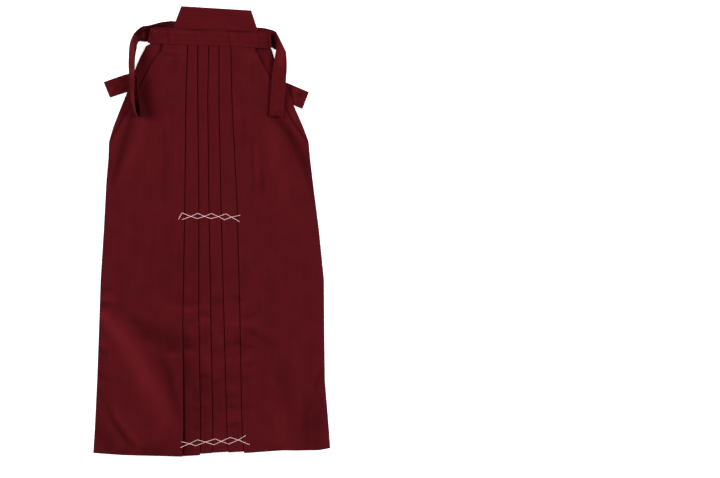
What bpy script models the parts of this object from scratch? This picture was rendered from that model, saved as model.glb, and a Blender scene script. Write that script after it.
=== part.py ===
"""Hakama trousers laid on their back, front upwards, waist towards +Y.

Every piece of cloth is a thin wall: a grid of points on the middle of the cloth,
moved out by half a wall to each side. Lengths are in millimetres up to the last
step, which writes metres. The origin is on the surface that the garment lies on.
"""
import math
from collections import namedtuple

import bmesh
import bpy
from mathutils import Vector

# Cloth, and the gap that neighbouring pieces keep
MM = 0.001
WALL = 1.0
GAP = 0.3
PITCH = WALL + GAP
TURN = PITCH / 2

# Length of the garment: nominal heights of the hem and of the tops of the panels
HEM = -425.0
BACK_TOP = 366.0
FRONT_TOP = 381.0
SLIT_BOTTOM = 170.0

# Outline of the back panels, the widest part all the way
Side = namedtuple("Side", "height left right")
OUTLINE = (
    Side(-425.0, -227.3, 227.8),
    Side(-381.0, -224.5, 224.9),
    Side(-285.0, -219.9, 217.1),
    Side(-189.0, -216.3, 215.9),
    Side(-93.0, -213.2, 215.3),
    Side(3.0, -207.1, 205.7),
    Side(99.0, -201.9, 193.5),
    Side(141.0, -198.2, 188.6),
    Side(172.0, -197.3, 186.0),
    Side(201.0, -188.8, 175.4),
    Side(237.0, -174.4, 159.5),
    Side(266.0, -162.7, 147.2),
    Side(318.0, -144.3, 125.2),
    Side(337.0, -136.0, 119.9),
    Side(350.0, -130.2, 115.6),
    Side(366.0, -122.5, 111.0),
)

# Edges of the front panels along the side slits
SLIT_EDGES = (
    Side(170.0, -197.4, 186.3),
    Side(185.0, -187.7, 173.0),
    Side(215.0, -172.1, 153.0),
    Side(247.0, -153.3, 136.0),
    Side(291.0, -132.0, 115.5),
    Side(325.0, -114.7, 96.5),
    Side(352.0, -94.6, 83.0),
    Side(381.0, -90.0, 82.0),
)

# Fold edges of the five front pleats, from the right half's outermost to the left's
Lines = namedtuple("Lines", "height first second third fourth fifth depth")
PLEATS = (
    Lines(-425.0, -56.2, -22.6, 0.5, 32.5, 62.9, 16.0),
    Lines(-381.0, -54.2, -21.6, 1.4, 30.2, 59.0, 16.0),
    Lines(-170.0, -56.2, -25.4, -2.4, 24.5, 55.2, 14.0),
    Lines(60.0, -52.3, -25.4, -6.2, 18.7, 49.4, 12.0),
    Lines(252.0, -50.4, -27.4, -8.2, 14.9, 39.8, 10.5),
    Lines(381.0, -45.6, -27.4, -6.0, 14.9, 37.5, 10.5),
)
PLEAT_CLIMB = 11.0
SEAM_UNDER_FOURTH = 9.5

# Hem line across the garment, and how much higher the leaves of each half's pleats and the
# back end
Level = namedtuple("Level", "across height")
HEM_LINE = (
    Level(-227.0, -425.0),
    Level(-170.0, -429.0),
    Level(-57.0, -431.8),
    Level(20.0, -427.5),
    Level(63.0, -424.9),
    Level(138.0, -419.8),
    Level(160.0, -420.2),
    Level(205.0, -419.6),
    Level(227.0, -415.6),
)
LEAF_RISE_RIGHT = (0.0, 0.8, 3.7, 4.4)
LEAF_RISE_LEFT = (0.0, 3.0)
BACK_HEM_RISE = (
    Level(-227.0, 1.5),
    Level(-58.0, 2.5),
    Level(-24.0, 9.0),
    Level(54.0, 9.0),
    Level(76.0, 3.0),
    Level(227.0, 1.5),
)
BACK_TOP_LINE = (
    Level(-130.0, 353.0),
    Level(-108.0, 366.5),
    Level(-82.0, 367.4),
    Level(96.5, 359.4),
    Level(104.0, 358.0),
    Level(122.0, 345.0),
)

# Centre-back fold: the left half laps over the right one, on the garment's outside
BACK_FOLD = -2.0
BACK_FOLD_DEPTH = 16.0
BACK_CLIMB = 12.0
MOUND_RAMP = 36.0

# Waistband, board and strips
BAND_TOP_LEFT = (-116.3, 392.0)
BAND_TOP_RIGHT = (112.8, 382.0)
BAND_LOW_LEFT = (-123.6, 361.2)
BAND_LOW_RIGHT = (115.3, 351.4)
BOARD_CORNERS = ((-82.0, 368.0), (96.5, 360.0), (75.4, 423.7), (-57.9, 431.8))
BOARD_THICK = 4.5
BOARD_ROUND = 1.2
BASE_LOW = ((-82.2, 373.7), (88.2, 365.1))
BASE_TOP = ((-75.7, 404.0), (84.2, 392.0))
TIE_WIDTH = 29.0
BUNDLE_CLEARANCE = 0.6
FOOT_CLEARANCE = 0.5
FOOT_BESIDE_WAIST = 3.6

# Heights of what lies on what
FIRST = WALL / 2
SECOND = FIRST + PITCH
THIRD = SECOND + PITCH
BOARD_LOW = 2 * PITCH
BOARD_TOP = BOARD_LOW + BOARD_THICK
BAND_BACK_MID = BOARD_TOP + GAP + WALL / 2
TIE_LEVELS = 3
TIE_LIFT = TIE_LEVELS * PITCH
WAIST_BASE = BAND_BACK_MID + PITCH
BAND_FRONT_MID = WAIST_BASE + 3 * PITCH
BAND_SIDE_MID = WAIST_BASE + PITCH
BAND_END_MID = BAND_BACK_MID + PITCH
BAND_INSET = (BAND_END_MID - SECOND) / 2 + WALL / 2 + GAP

# The folded front ties lift the cloth on them: the lift is full a little above this line,
# and starts well below it
TIE_RISE_LINE = (
    Level(-230.0, 222.0),
    Level(-160.0, 226.0),
    Level(-100.0, 238.0),
    Level(0.0, 242.0),
    Level(95.0, 230.0),
    Level(157.0, 198.0),
    Level(230.0, 190.0),
)
TIE_RISE_RUN = 100.0
TIE_RISE_EARLY = 56.0
TIE_SLACK = 0.5
SEAM_DROP = 2.3
WAIST_RISE_START = 296.0
WAIST_RISE_RUN = 50.0

# Largest soft folds of the front: the one across the lower left, one in that corner, those
# beside the two slits and one at the lower right
Ridge = namedtuple("Ridge", "start_x start_y end_x end_y half_width height")
FRONT_RIDGES = (
    Ridge(-226.0, -132.0, -84.0, -408.0, 48.0, 8.0),
    Ridge(-200.0, -312.0, -132.0, -440.0, 22.0, 2.6),
    Ridge(-122.0, 236.0, -172.0, 84.0, 26.0, 2.6),
    Ridge(96.0, 232.0, 150.0, 20.0, 30.0, 2.6),
    Ridge(116.0, -312.0, 146.0, -450.0, 26.0, 2.2),
)

# Rows of points along the garment
FRONT_ROWS = (-425, -400, -370, -340, -310, -280, -250, -220, -190, -160, -125, -80, -30, 20, 65,
              105, 140, 170, 195, 215, 233, 250, 267, 284, 302, 322, 342, 356, 368, 381)
BACK_ROWS = (-425, -330, -235, -140, -45, 50, 120, 170, 195, 215, 233, 250, 267, 284, 302, 322,
             339, 354, 366)
PANEL_COLUMNS = 11

MAROON = (0.093, 0.0075, 0.0105)
MAROON_BAND = (0.100, 0.0082, 0.0112)
MAROON_TIE = (0.088, 0.0072, 0.0100)


def soft_step(value):
    """0 below 0, 1 above 1, with a soft run between."""
    value = min(1.0, max(0.0, value))
    return value * value * (3.0 - 2.0 * value)


def along(table, key, column, place):
    """A column of a table at a place, in straight runs between its rows."""
    before = table[0]
    for row in table:
        if getattr(row, key) >= place:
            break
        before = row
    else:
        return getattr(table[-1], column)
    span = getattr(row, key) - getattr(before, key)
    if span <= 0.0:
        return getattr(row, column)
    share = (place - getattr(before, key)) / span
    return getattr(before, column) * (1.0 - share) + getattr(row, column) * share


def line_height(left, right, x):
    """Height at x on the straight line through two points."""
    return left[1] + (right[1] - left[1]) * (x - left[0]) / (right[0] - left[0])


def tie_lift(x, y):
    """How far the folded front ties lift the cloth that lies on them."""
    start = along(TIE_RISE_LINE, "across", "height", x)
    rise = soft_step((y - start + TIE_RISE_EARLY) / TIE_RISE_RUN)
    beyond_ties = soft_step((y - 308.0) / 20.0) * soft_step((350.0 - y) / 12.0)
    edge_drop = 0.6 * soft_step((abs(x + 3.0) - 112.0) / 26.0) * beyond_ties
    above_ties = soft_step((y - 352.0) / 10.0)
    centre_drop = SEAM_DROP * above_ties * soft_step((x + 26.0) / 14.0) * soft_step((56.0 - x) / 18.0)
    return TIE_LIFT * rise * (1.0 - edge_drop) - centre_drop


def ridge_lift(x, y):
    """Height of the front's large soft folds."""
    lift = 0.0
    for ridge in FRONT_RIDGES:
        run_x = ridge.end_x - ridge.start_x
        run_y = ridge.end_y - ridge.start_y
        length = math.hypot(run_x, run_y)
        share = ((x - ridge.start_x) * run_x + (y - ridge.start_y) * run_y) / length ** 2
        off = abs((x - ridge.start_x) * run_y - (y - ridge.start_y) * run_x) / length
        ends = soft_step(share / 0.3) * soft_step((1.0 - share) / 0.3)
        lift += ridge.height * ends * soft_step(1.0 - off / ridge.half_width)
    return lift


def back_mid(x, y, level=0.0):
    """Middle of the back cloth, a number of levels above what it lies on."""
    return WALL / 2 + tie_lift(x, y) + level * PITCH


def front_mid(x, y, level=0.0):
    """Middle of the front cloth, a number of levels above its lowest leaf."""
    left_ramp = soft_step((x - BACK_FOLD + 3.0 + MOUND_RAMP) / MOUND_RAMP)
    right_ramp = soft_step((BACK_FOLD + BACK_FOLD_DEPTH + 2.0 + MOUND_RAMP - x) / MOUND_RAMP)
    mound = 2.0 * left_ramp * right_ramp
    share = tie_lift(x, y) / TIE_LIFT
    slack = TIE_SLACK * soft_step(share / 0.06) * soft_step((1.0 - share) / 0.1)
    base = back_mid(x, y, 1.0 + mound) + ridge_lift(x, y) + slack
    waist = soft_step((y - WAIST_RISE_START) / WAIST_RISE_RUN)
    return base + (WAIST_BASE - base) * waist + level * PITCH


def spread(start, end, count):
    """Evenly spaced values from start to end, both included."""
    return [start + (end - start) * step / (count - 1) for step in range(count)]


def turn_points(edge, facing, top_level):
    """Three points round a fold: its edge lies at `edge` and faces +X or -X."""
    middle = edge - facing * (WALL / 2 + TURN)
    return [(middle, top_level),
            (middle + facing * TURN, top_level - 0.5),
            (middle, top_level - 1.0)]


def climb_points(start, end):
    """A leaf's rise from its lowest level to two levels up."""
    return [(start + (end - start) * share, 2.0 * soft_step(share)) for share in (0.0, 0.5, 1.0)]


def pleated_section(side, lines, depth, facing, closing):
    """Points (x, level, leaf) across one front half, from its side edge inwards.

    Each fold edge faces the centre; behind it the cloth runs back by the pleat's
    depth and turns again. `closing` is where the last leaf ends.
    """
    climb_start = lines[0] - facing * (depth + PLEAT_CLIMB)
    section = [(x, 0.0, 0) for x in spread(side, climb_start, PANEL_COLUMNS)]
    section += [(x, level, 0) for x, level in
                climb_points(climb_start, lines[0] - facing * depth)[1:]]
    for leaf, line in enumerate(lines):
        section += [(x, level, leaf) for x, level in turn_points(line, facing, 2.0)]
        if closing is None and leaf == len(lines) - 1:
            section.append((line - facing * (depth - 1.0), 1.0, leaf))
            return section
        section += [(x, level, leaf + 1) for x, level in
                    turn_points(line - facing * depth, -facing, 1.0)]
        if leaf + 1 < len(lines):
            climb = climb_points(line + facing, lines[leaf + 1] - facing * depth)
            section += [(x, level, leaf + 1) for x, level in climb]
    section += [(x, 0.0, len(lines)) for x in spread(lines[-1] + facing, closing, 3)]
    return section


def front_side(column, y):
    """X of a front half's outer edge: the slit's edge, and the side seam below it."""
    table = SLIT_EDGES if y > SLIT_BOTTOM else OUTLINE
    return along(table, "height", column, y)


def front_height(x, nominal, rise=0.0):
    """Height of a front row's point, between the hem line and the top line."""
    hem = along(HEM_LINE, "across", "height", x) + rise
    top = line_height(BAND_TOP_LEFT, BAND_TOP_RIGHT, x) - 5.0
    return hem + (top - hem) * (nominal - HEM) / (FRONT_TOP - HEM)


def back_height(x, nominal):
    """Height of a back row's point, between the hem line and the board."""
    hem = (along(HEM_LINE, "across", "height", x)
           + along(BACK_HEM_RISE, "across", "height", x))
    top = along(BACK_TOP_LINE, "across", "height", x)
    return hem + (top - hem) * (nominal - HEM) / (BACK_TOP - HEM)


def front_edge(column, nominal):
    """Outer edge of a front row, read at the height where that edge really lies."""
    return front_side(column, front_height(front_side(column, nominal), nominal))


def back_edge(column, nominal):
    """Outer edge of a back row, read at the height where that edge really lies."""
    first = along(OUTLINE, "height", column, nominal)
    return along(OUTLINE, "height", column, back_height(first, nominal))


def front_grid(half):
    """Points of one front half, row by row from the hem to the waist."""
    right_half = half == "right"
    rises = LEAF_RISE_RIGHT if right_half else LEAF_RISE_LEFT
    rows = []
    for nominal in FRONT_ROWS:
        lines = {name: along(PLEATS, "height", name, nominal) for name in Lines._fields[1:]}
        depth = lines["depth"]
        if right_half:
            edges = (lines["first"], lines["second"], lines["third"])
            closing = lines["fourth"] + SEAM_UNDER_FOURTH
            section = pleated_section(front_edge("left", nominal), edges, depth, 1, closing)
        else:
            edges = (lines["fifth"], lines["fourth"])
            section = pleated_section(front_edge("right", nominal), edges, depth, -1, None)
        row = []
        for x, level, leaf in section:
            y = front_height(x, nominal, rises[leaf])
            row.append(Vector((x, y, front_mid(x, y, level))))
        rows.append(row if right_half else row[::-1])
    return rows


def back_grid(half):
    """Points of one back half, row by row from the hem to the board."""
    right_half = half == "right"
    rows = []
    for nominal in BACK_ROWS:
        if right_half:
            side = back_edge("left", nominal)
            section = [(x, 0.0) for x in spread(side, BACK_FOLD - BACK_CLIMB - 2.0, 9)]
            start = section[-1][0]
            section += [(x, level) for x, level in climb_points(start, BACK_FOLD - 1.5)[1:]]
            section.append((BACK_FOLD + BACK_FOLD_DEPTH, 2.0))
        else:
            side = back_edge("right", nominal)
            section = [(x, 0.0) for x in spread(side, BACK_FOLD + BACK_FOLD_DEPTH, 9)]
            section += turn_points(BACK_FOLD, -1, 1.0)[::-1]
            section.append((BACK_FOLD + BACK_FOLD_DEPTH - 1.0, 1.0))
            section.reverse()
        row = []
        for x, level in section:
            y = back_height(x, nominal)
            row.append(Vector((x, y, back_mid(x, y, level))))
        rows.append(row)
    return rows


def grid_normals(grid):
    """Unit normals of a grid of points, from its neighbours along and across."""
    last_row = len(grid) - 1
    last_column = len(grid[0]) - 1
    normals = []
    for i, row in enumerate(grid):
        line = []
        for j in range(len(row)):
            along_rows = grid[min(i + 1, last_row)][j] - grid[max(i - 1, 0)][j]
            across = row[min(j + 1, last_column)] - row[max(j - 1, 0)]
            line.append(across.cross(along_rows).normalized())
        normals.append(line)
    return normals


def new_material(name, colour):
    """Matt cloth of one colour."""
    material = bpy.data.materials.new(name)
    material.use_nodes = True
    shader = material.node_tree.nodes["Principled BSDF"]
    shader.inputs["Base Color"].default_value = (*colour, 1.0)
    shader.inputs["Roughness"].default_value = 0.85
    shader.inputs["Metallic"].default_value = 0.0
    return material


def add_object(name, mesh_data, material):
    """Object from a bmesh, with its faces turned outwards."""
    bmesh.ops.recalc_face_normals(mesh_data, faces=mesh_data.faces)
    mesh = bpy.data.meshes.new(name)
    mesh_data.to_mesh(mesh)
    mesh_data.free()
    mesh.materials.append(material)
    piece = bpy.data.objects.new(name, mesh)
    bpy.context.scene.collection.objects.link(piece)
    return piece


def cloth_wall(name, grid, material, wall=WALL):
    """Closed wall round a grid of points on the middle of the cloth."""
    normals = grid_normals(grid)
    shell = bmesh.new()
    sides = []
    for half in (wall / 2, -wall / 2):
        sides.append([[shell.verts.new((point + normal * half) * MM)
                       for point, normal in zip(row, normal_row)]
                      for row, normal_row in zip(grid, normals)])
    upper, lower = sides
    rows = len(grid)
    columns = len(grid[0])
    for i in range(rows - 1):
        for j in range(columns - 1):
            for face in (upper, lower):
                shell.faces.new((face[i][j], face[i][j + 1], face[i + 1][j + 1], face[i + 1][j]))
    rim = [(0, j) for j in range(columns)]
    rim += [(i, columns - 1) for i in range(1, rows)]
    rim += [(rows - 1, j) for j in range(columns - 2, -1, -1)]
    rim += [(i, 0) for i in range(rows - 2, 0, -1)]
    for here, there in zip(rim, rim[1:] + rim[:1]):
        shell.faces.new((upper[here[0]][here[1]], upper[there[0]][there[1]],
                         lower[there[0]][there[1]], lower[here[0]][here[1]]))
    return add_object(name, shell, material)


def band_front_mid(x):
    """Middle of the band's front wall: high over the pleats, lower towards its ends."""
    over_pleats = soft_step((x + 92.0) / 24.0) * soft_step((86.0 - x) / 24.0)
    over_panels = soft_step((x + 113.0) / 20.0) * soft_step((110.0 - x) / 20.0)
    side = BAND_END_MID + (BAND_SIDE_MID - BAND_END_MID) * over_panels
    return side + (BAND_FRONT_MID - side) * over_pleats


def band_grid():
    """Band folded over the tops of the front panels: front wall, top fold, back wall."""
    sections = [("front", 0.0), ("front", 0.35), ("front", 0.7), ("front", 1.0)]
    sections += [("fold", angle) for angle in (50.0, 90.0, 130.0)]
    sections += [("back", 1.0), ("back", 0.6), ("back", 0.25)]
    rows = []
    for part, value in sections:
        row = []
        for share in spread(0.0, 1.0, 25):
            height_share = 1.0 if part == "fold" else value
            left = BAND_LOW_LEFT[0] + (BAND_TOP_LEFT[0] - BAND_LOW_LEFT[0]) * height_share + BAND_INSET
            right = BAND_LOW_RIGHT[0] + (BAND_TOP_RIGHT[0] - BAND_LOW_RIGHT[0]) * height_share - BAND_INSET
            x = left + (right - left) * share
            low = line_height(BAND_LOW_LEFT, BAND_LOW_RIGHT, x)
            top = line_height(BAND_TOP_LEFT, BAND_TOP_RIGHT, x)
            front = band_front_mid(x)
            radius = (front - BAND_BACK_MID) / 2
            bulge = radius * 0.8
            shoulder = top - WALL / 2 - bulge
            if part == "fold":
                angle = math.radians(value)
                y = shoulder + bulge * math.sin(angle)
                z = BAND_BACK_MID + radius + radius * math.cos(angle)
            else:
                y = low + (shoulder - low) * value
                z = front if part == "front" else BAND_BACK_MID
            row.append(Vector((x, y, z)))
        rows.append(row)
    return rows


Station = namedtuple("Station", "x y z tilt")


def strip_grid(stations, width=TIE_WIDTH, across=3):
    """Points of a strip from its middle line; tilt turns its width from +Y, in degrees."""
    rows = []
    for station in stations:
        tilt = math.radians(station.tilt)
        half = Vector((-math.sin(tilt), math.cos(tilt), 0.0)) * width / 2
        middle = Vector((station.x, station.y, station.z))
        rows.append([middle + half * share for share in spread(-1.0, 1.0, across)])
    return rows


def turned_over(x, y, tilt, top, bottom, facing, move_x=0.0, move_y=0.0):
    """Stations round the end of a strip that turns from one height to another, where its
    second layer lies a little to one side of the first."""
    radius = abs(top - bottom) / 2
    direction = Vector((math.cos(math.radians(tilt)), math.sin(math.radians(tilt)))) * facing
    stations = []
    for angle in (0.0, 45.0, 90.0, 135.0, 180.0):
        reach = radius * math.sin(math.radians(angle)) - radius - WALL / 2
        z = (top + bottom) / 2 + (top - bottom) / 2 * math.cos(math.radians(angle))
        moved = min(max((angle - 45.0) / 90.0, 0.0), 1.0)
        at_x = x + direction.x * reach + move_x * moved
        at_y = y + direction.y * reach + move_y * moved
        stations.append(Station(at_x, at_y, z, tilt))
    return stations


def front_tie_left():
    """Left front tie: round the band's right end, across under the back, and back again."""
    stations = turned_over(114.2, 366.8, 4.7, BAND_END_MID, SECOND, 1)
    stations += [
        Station(98.0, 361.5, SECOND, 11.0),
        Station(62.0, 350.8, SECOND, 16.0),
        Station(40.0, 344.6, FIRST, 16.5),
        Station(0.0, 332.5, FIRST, 17.5),
        Station(-60.0, 313.5, FIRST, 18.0),
        Station(-120.0, 298.0, FIRST, 18.0),
        Station(-160.0, 288.0, FIRST, 20.0),
    ]
    stations += turned_over(-202.3, 273.5, 22.0, FIRST, SECOND, -1, 1.4, -3.5)
    stations += [
        Station(-160.0, 283.0, SECOND, 19.0),
        Station(-103.0, 292.0, SECOND, 13.0),
        Station(0.0, 307.5, SECOND, 9.0),
        Station(88.0, 321.5, SECOND, 9.0),
    ]
    return stations


def front_tie_right():
    """Right front tie: round the band's left end and down to the right, with its end turned."""
    stations = turned_over(-120.0, 376.6, -13.3, BAND_END_MID, SECOND, -1)
    stations += [
        Station(-106.0, 367.0, SECOND, -17.0),
        Station(-76.0, 354.6, SECOND, -21.0),
        Station(-54.0, 346.0, THIRD, -21.0),
        Station(20.0, 318.0, THIRD, -21.0),
        Station(92.0, 290.5, THIRD, -21.0),
        Station(122.0, 279.0, FIRST, -21.0),
        Station(150.0, 266.0, FIRST, -21.0),
    ]
    stations += turned_over(180.4, 252.6, -20.8, FIRST, SECOND, 1, -1.8, -4.8)
    stations += [
        Station(150.0, 261.8, SECOND, -21.0),
        Station(124.0, 273.8, SECOND, -21.0),
    ]
    return stations


def top_surface(x, y):
    """Height of the outer side of whatever cloth lies on top at a place."""
    if front_side("left", y) <= x <= front_side("right", y):
        return front_mid(x, y) + WALL / 2
    return back_mid(x, y) + WALL / 2


def highest_near(x, y, half_x, half_y):
    """Highest cloth within a small rectangle round a place."""
    return max(top_surface(x + half_x * across, y + half_y * up)
               for across in spread(-1.0, 1.0, 7) for up in spread(-1.0, 1.0, 5))


Edge = namedtuple("Edge", "inner_x inner_y inner_z outer_x outer_y outer_z")
Ply = namedtuple("Ply", "y top_x foot_x height")


def edges_grid(edges, across=3):
    """Points of a strip from its two edges."""
    rows = []
    for edge in edges:
        inner = Vector((edge.inner_x, edge.inner_y, edge.inner_z))
        outer = Vector((edge.outer_x, edge.outer_y, edge.outer_z))
        rows.append([inner.lerp(outer, share) for share in spread(0.0, 1.0, across)])
    return rows


def end_turn(y, outer_x, inner_x, low, facing, slant=2.0):
    """Edges round a strip's end, from one layer down to the next."""
    turn = []
    for angle in (0.0, 90.0, 180.0):
        reach = facing * TURN * math.sin(math.radians(angle))
        z = low + TURN + TURN * math.cos(math.radians(angle))
        turn.append(Edge(outer_x, y - slant + reach, z, inner_x, y + slant + reach, z))
    return turn


def back_tie_left_edges():
    """Left back tie: out from under the board, over in a soft fold, down in three layers."""
    rest = {y: highest_near(126.0, y, 17.0, 7.0) + BUNDLE_CLEARANCE + WALL / 2
            for y in (225.0, 240.0, 270.0, 300.0)}
    low_end = rest[225.0]
    high_end = rest[300.0]
    edges = [
        Edge(88.6, 365.0, FIRST, 84.6, 392.0, FIRST),
        Edge(108.0, 358.5, FIRST, 101.0, 390.6, FIRST),
        Edge(122.0, 349.0, 1.0, 112.0, 388.0, 0.9),
        Edge(136.5, 347.0, 2.6, 120.5, 385.0, 3.0),
        Edge(142.4, 345.0, 6.0, 125.0, 380.5, 7.0),
        Edge(143.2, 340.0, 9.5, 125.5, 373.0, 11.0),
        Edge(144.2, 328.0, 11.0, 124.0, 352.0, 12.2),
        Edge(144.2, 310.0, high_end + 2 * PITCH + 0.6, 119.0, 320.0, high_end + 2 * PITCH + 0.8),
    ]
    runs = (
        (2, (300.0, 270.0, 240.0)),
        (1, (240.0, 270.0, 300.0)),
        (0, (300.0, 270.0, 240.0)),
    )
    for layer, heights in runs:
        for y in heights:
            outer_x = 136.6 + (y - 221.0) * 0.084
            inner_x = 111.0 + (y - 221.0) * 0.064
            z = rest[y] + layer * PITCH
            edges.append(Edge(outer_x, y - 2.0, z, inner_x, y + 2.0, z))
        if layer == 2:
            edges += end_turn(220.0, 136.5, 110.9, low_end + PITCH, -1, 2.7)
        if layer == 1:
            edges += end_turn(308.0, 143.8, 116.6, high_end, 1)
    edges.append(Edge(137.0, 222.0, low_end, 111.6, 226.5, low_end))
    return edges


def back_tie_right_edges():
    """Right back tie: out from under the board, then on its edge down the side, in two plies."""
    edges = [
        Edge(-82.6, 374.0, FIRST, -76.0, 404.6, FIRST),
        Edge(-103.0, 368.0, FIRST, -97.0, 402.0, FIRST),
        Edge(-124.0, 364.5, 0.6, -120.0, 396.0, 0.55),
        Edge(-133.5, 364.5, 6.2, -134.0, 393.5, 0.9),
        Edge(-137.5, 364.5, 14.0, -146.0, 384.0, 1.2),
        Edge(-141.0, 360.5, 20.5, -153.5, 372.0, 1.8),
        Edge(-143.4, 348.0, 24.5, -158.0, 357.0, 2.6),
    ]
    plies = (
        Ply(334.0, -145.4, -159.4, 23.5),
        Ply(318.0, -146.2, -159.8, 24.5),
        Ply(298.0, -146.4, -158.6, 25.5),
        Ply(270.0, -147.4, -156.8, 25.5),
        Ply(256.0, -146.6, -155.4, 25.5),
        Ply(240.0, -145.2, -152.0, 25.5),
        Ply(228.0, -143.2, -148.5, 25.5),
        Ply(221.0, -139.6, -143.0, 25.5),
        Ply(220.0, -136.4, -139.4, 25.5),
        Ply(226.0, -134.6, -137.4, 25.5),
        Ply(240.0, -135.6, -138.8, 25.0),
        Ply(268.0, -139.0, -143.2, 24.5),
        Ply(298.0, -142.0, -146.8, 24.0),
    )
    for ply in plies:
        beside_waist = ply.y > 312.0
        cloth = FOOT_BESIDE_WAIST if beside_waist else highest_near(ply.foot_x, ply.y, 6.0, 6.0)
        foot_z = cloth + FOOT_CLEARANCE
        edges.append(Edge(ply.top_x, ply.y, foot_z + ply.height,
                          ply.foot_x, ply.y, foot_z))
    return edges


def base_edges():
    """Strip across the outside of the board, between the two back ties."""
    edges = []
    for share in spread(0.0, 1.0, 5):
        low_x = BASE_LOW[0][0] + (BASE_LOW[1][0] - BASE_LOW[0][0]) * share
        top_x = BASE_TOP[0][0] + (BASE_TOP[1][0] - BASE_TOP[0][0]) * share
        low_y = line_height(*BASE_LOW, low_x)
        top_y = line_height(*BASE_TOP, top_x)
        edges.append(Edge(low_x, low_y, FIRST, top_x, top_y, FIRST))
    return edges


def board(name, material):
    """Stiff waist board with softly rounded edges."""
    shape = bmesh.new()
    low = [shell_point(shape, corner, BOARD_LOW) for corner in BOARD_CORNERS]
    high = [shell_point(shape, corner, BOARD_TOP) for corner in BOARD_CORNERS]
    shape.faces.new(low[::-1])
    shape.faces.new(high)
    for here in range(4):
        there = (here + 1) % 4
        shape.faces.new((low[here], low[there], high[there], high[here]))
    piece = add_object(name, shape, material)
    bevel = piece.modifiers.new("rounded edges", "BEVEL")
    bevel.width = BOARD_ROUND * MM
    bevel.segments = 2
    return piece


def shell_point(shape, corner, z):
    """Vertex of a bmesh at a corner and a height."""
    return shape.verts.new(Vector((corner[0], corner[1], z)) * MM)


def main():
    """Clear the file and build every piece."""
    for thing in list(bpy.data.objects):
        bpy.data.objects.remove(thing, do_unlink=True)
    panel_cloth = new_material("panel cloth", MAROON)
    band_cloth = new_material("band cloth", MAROON_BAND)
    tie_cloth = new_material("tie cloth", MAROON_TIE)
    cloth_wall("back_panel_right", back_grid("right"), panel_cloth)
    cloth_wall("back_panel_left", back_grid("left"), panel_cloth)
    cloth_wall("front_panel_right", front_grid("right"), panel_cloth)
    cloth_wall("front_panel_left", front_grid("left"), panel_cloth)
    cloth_wall("front_band", band_grid(), band_cloth)
    board("waist_board", band_cloth)
    cloth_wall("front_tie_left", strip_grid(front_tie_left()), tie_cloth)
    cloth_wall("front_tie_right", strip_grid(front_tie_right()), tie_cloth)
    cloth_wall("back_tie_base", edges_grid(base_edges()), tie_cloth)
    cloth_wall("back_tie_left", edges_grid(back_tie_left_edges()), tie_cloth)
    cloth_wall("back_tie_right", edges_grid(back_tie_right_edges()), tie_cloth)


main()
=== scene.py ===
import math
import bpy
import numpy as np
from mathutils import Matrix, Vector
from mathutils.bvhtree import BVHTree


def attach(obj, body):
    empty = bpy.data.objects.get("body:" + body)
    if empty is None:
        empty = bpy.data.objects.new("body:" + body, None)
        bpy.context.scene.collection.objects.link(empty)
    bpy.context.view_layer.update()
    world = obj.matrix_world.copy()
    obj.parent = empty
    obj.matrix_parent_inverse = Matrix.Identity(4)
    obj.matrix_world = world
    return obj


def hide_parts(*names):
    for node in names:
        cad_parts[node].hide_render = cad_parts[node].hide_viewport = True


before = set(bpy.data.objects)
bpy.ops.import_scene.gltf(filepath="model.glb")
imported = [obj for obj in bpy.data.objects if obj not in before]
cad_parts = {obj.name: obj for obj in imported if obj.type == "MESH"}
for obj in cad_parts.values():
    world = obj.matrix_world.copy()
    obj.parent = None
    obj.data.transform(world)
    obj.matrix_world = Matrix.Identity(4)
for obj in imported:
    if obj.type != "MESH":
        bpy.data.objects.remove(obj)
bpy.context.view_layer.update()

# Lengths are in millimetres until a mesh is written. +X is the wearer's left, +Y the waist.
mm = 0.001
print("frame loaded")

# the cut of the panels
cloth = {
    "pitch": 1.3,            # from one layer's middle to the next one's
    "half": 0.4,             # half of a layer's thickness
    "rowStep": 3.05,         # between rows of points, along the garment
    "columnStep": 3,
    "arcPoints": 8,          # round each folded edge
}
sideSeams = np.array((       # height, left, right
    (-425, -227.3, 227.8), (-381, -224.5, 224.9), (-285, -219.9, 217.1),
    (-189, -216.3, 215.9), (-93, -213.2, 215.3), (3, -207.1, 205.7),
    (99, -201.9, 193.5), (141, -198.2, 188.6), (172, -197.3, 186),
    (201, -188.8, 175.4), (237, -174.4, 159.5), (266, -162.7, 147.2),
    (318, -144.3, 125.2), (337, -136, 119.9),
    (350, -130.2, 115.6), (366, -122.5, 111)))
slitEdges = np.array((       # height, left, right
    (170, -197.4, 186.3), (185, -187.7, 173), (215, -172.1, 153),
    (247, -153.3, 136), (291, -132, 115.5), (325, -114.7, 96.5),
    (352, -94.6, 83), (381, -90, 82)))
pleatLines = np.array((      # height, the five folded edges from the wearer's right, depth
    (-425, -56.2, -22.6, 0.5, 32.5, 62.9, 16),
    (-381, -54.2, -21.6, 1.4, 30.2, 59, 16),
    (-170, -56.2, -25.4, -2.4, 24.5, 55.2, 14),
    (60, -52.3, -25.4, -6.2, 18.7, 49.4, 12),
    (252, -50.4, -27.4, -8.2, 14.9, 39.8, 10.5),
    (381, -45.6, -27.4, -6, 14.9, 37.5, 10.5)))
hemLine = np.array((         # across, height
    (-227, -425), (-170, -429), (-57, -431.8), (20, -427.5),
    (63, -424.9), (138, -419.8), (160, -420.2), (205, -419.6), (227, -415.6)))
backTopLine = np.array((
    (-130, 353), (-108, 366.5), (-82, 367.4), (96.5, 359.4), (104, 358), (122, 345)))
tieRiseLine = np.array((
    (-230, 222), (-160, 226), (-100, 238), (0, 242), (95, 230),
    (157, 198), (230, 190)))
hem = -425
frontTop = 381
backTop = 366
slitBottom = 170
leafRise = {"right": np.array((0, 0.8, 3.7, 4.4)),     # how much higher each leaf of a half ends
            "left": np.array((0, 3))}
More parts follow.
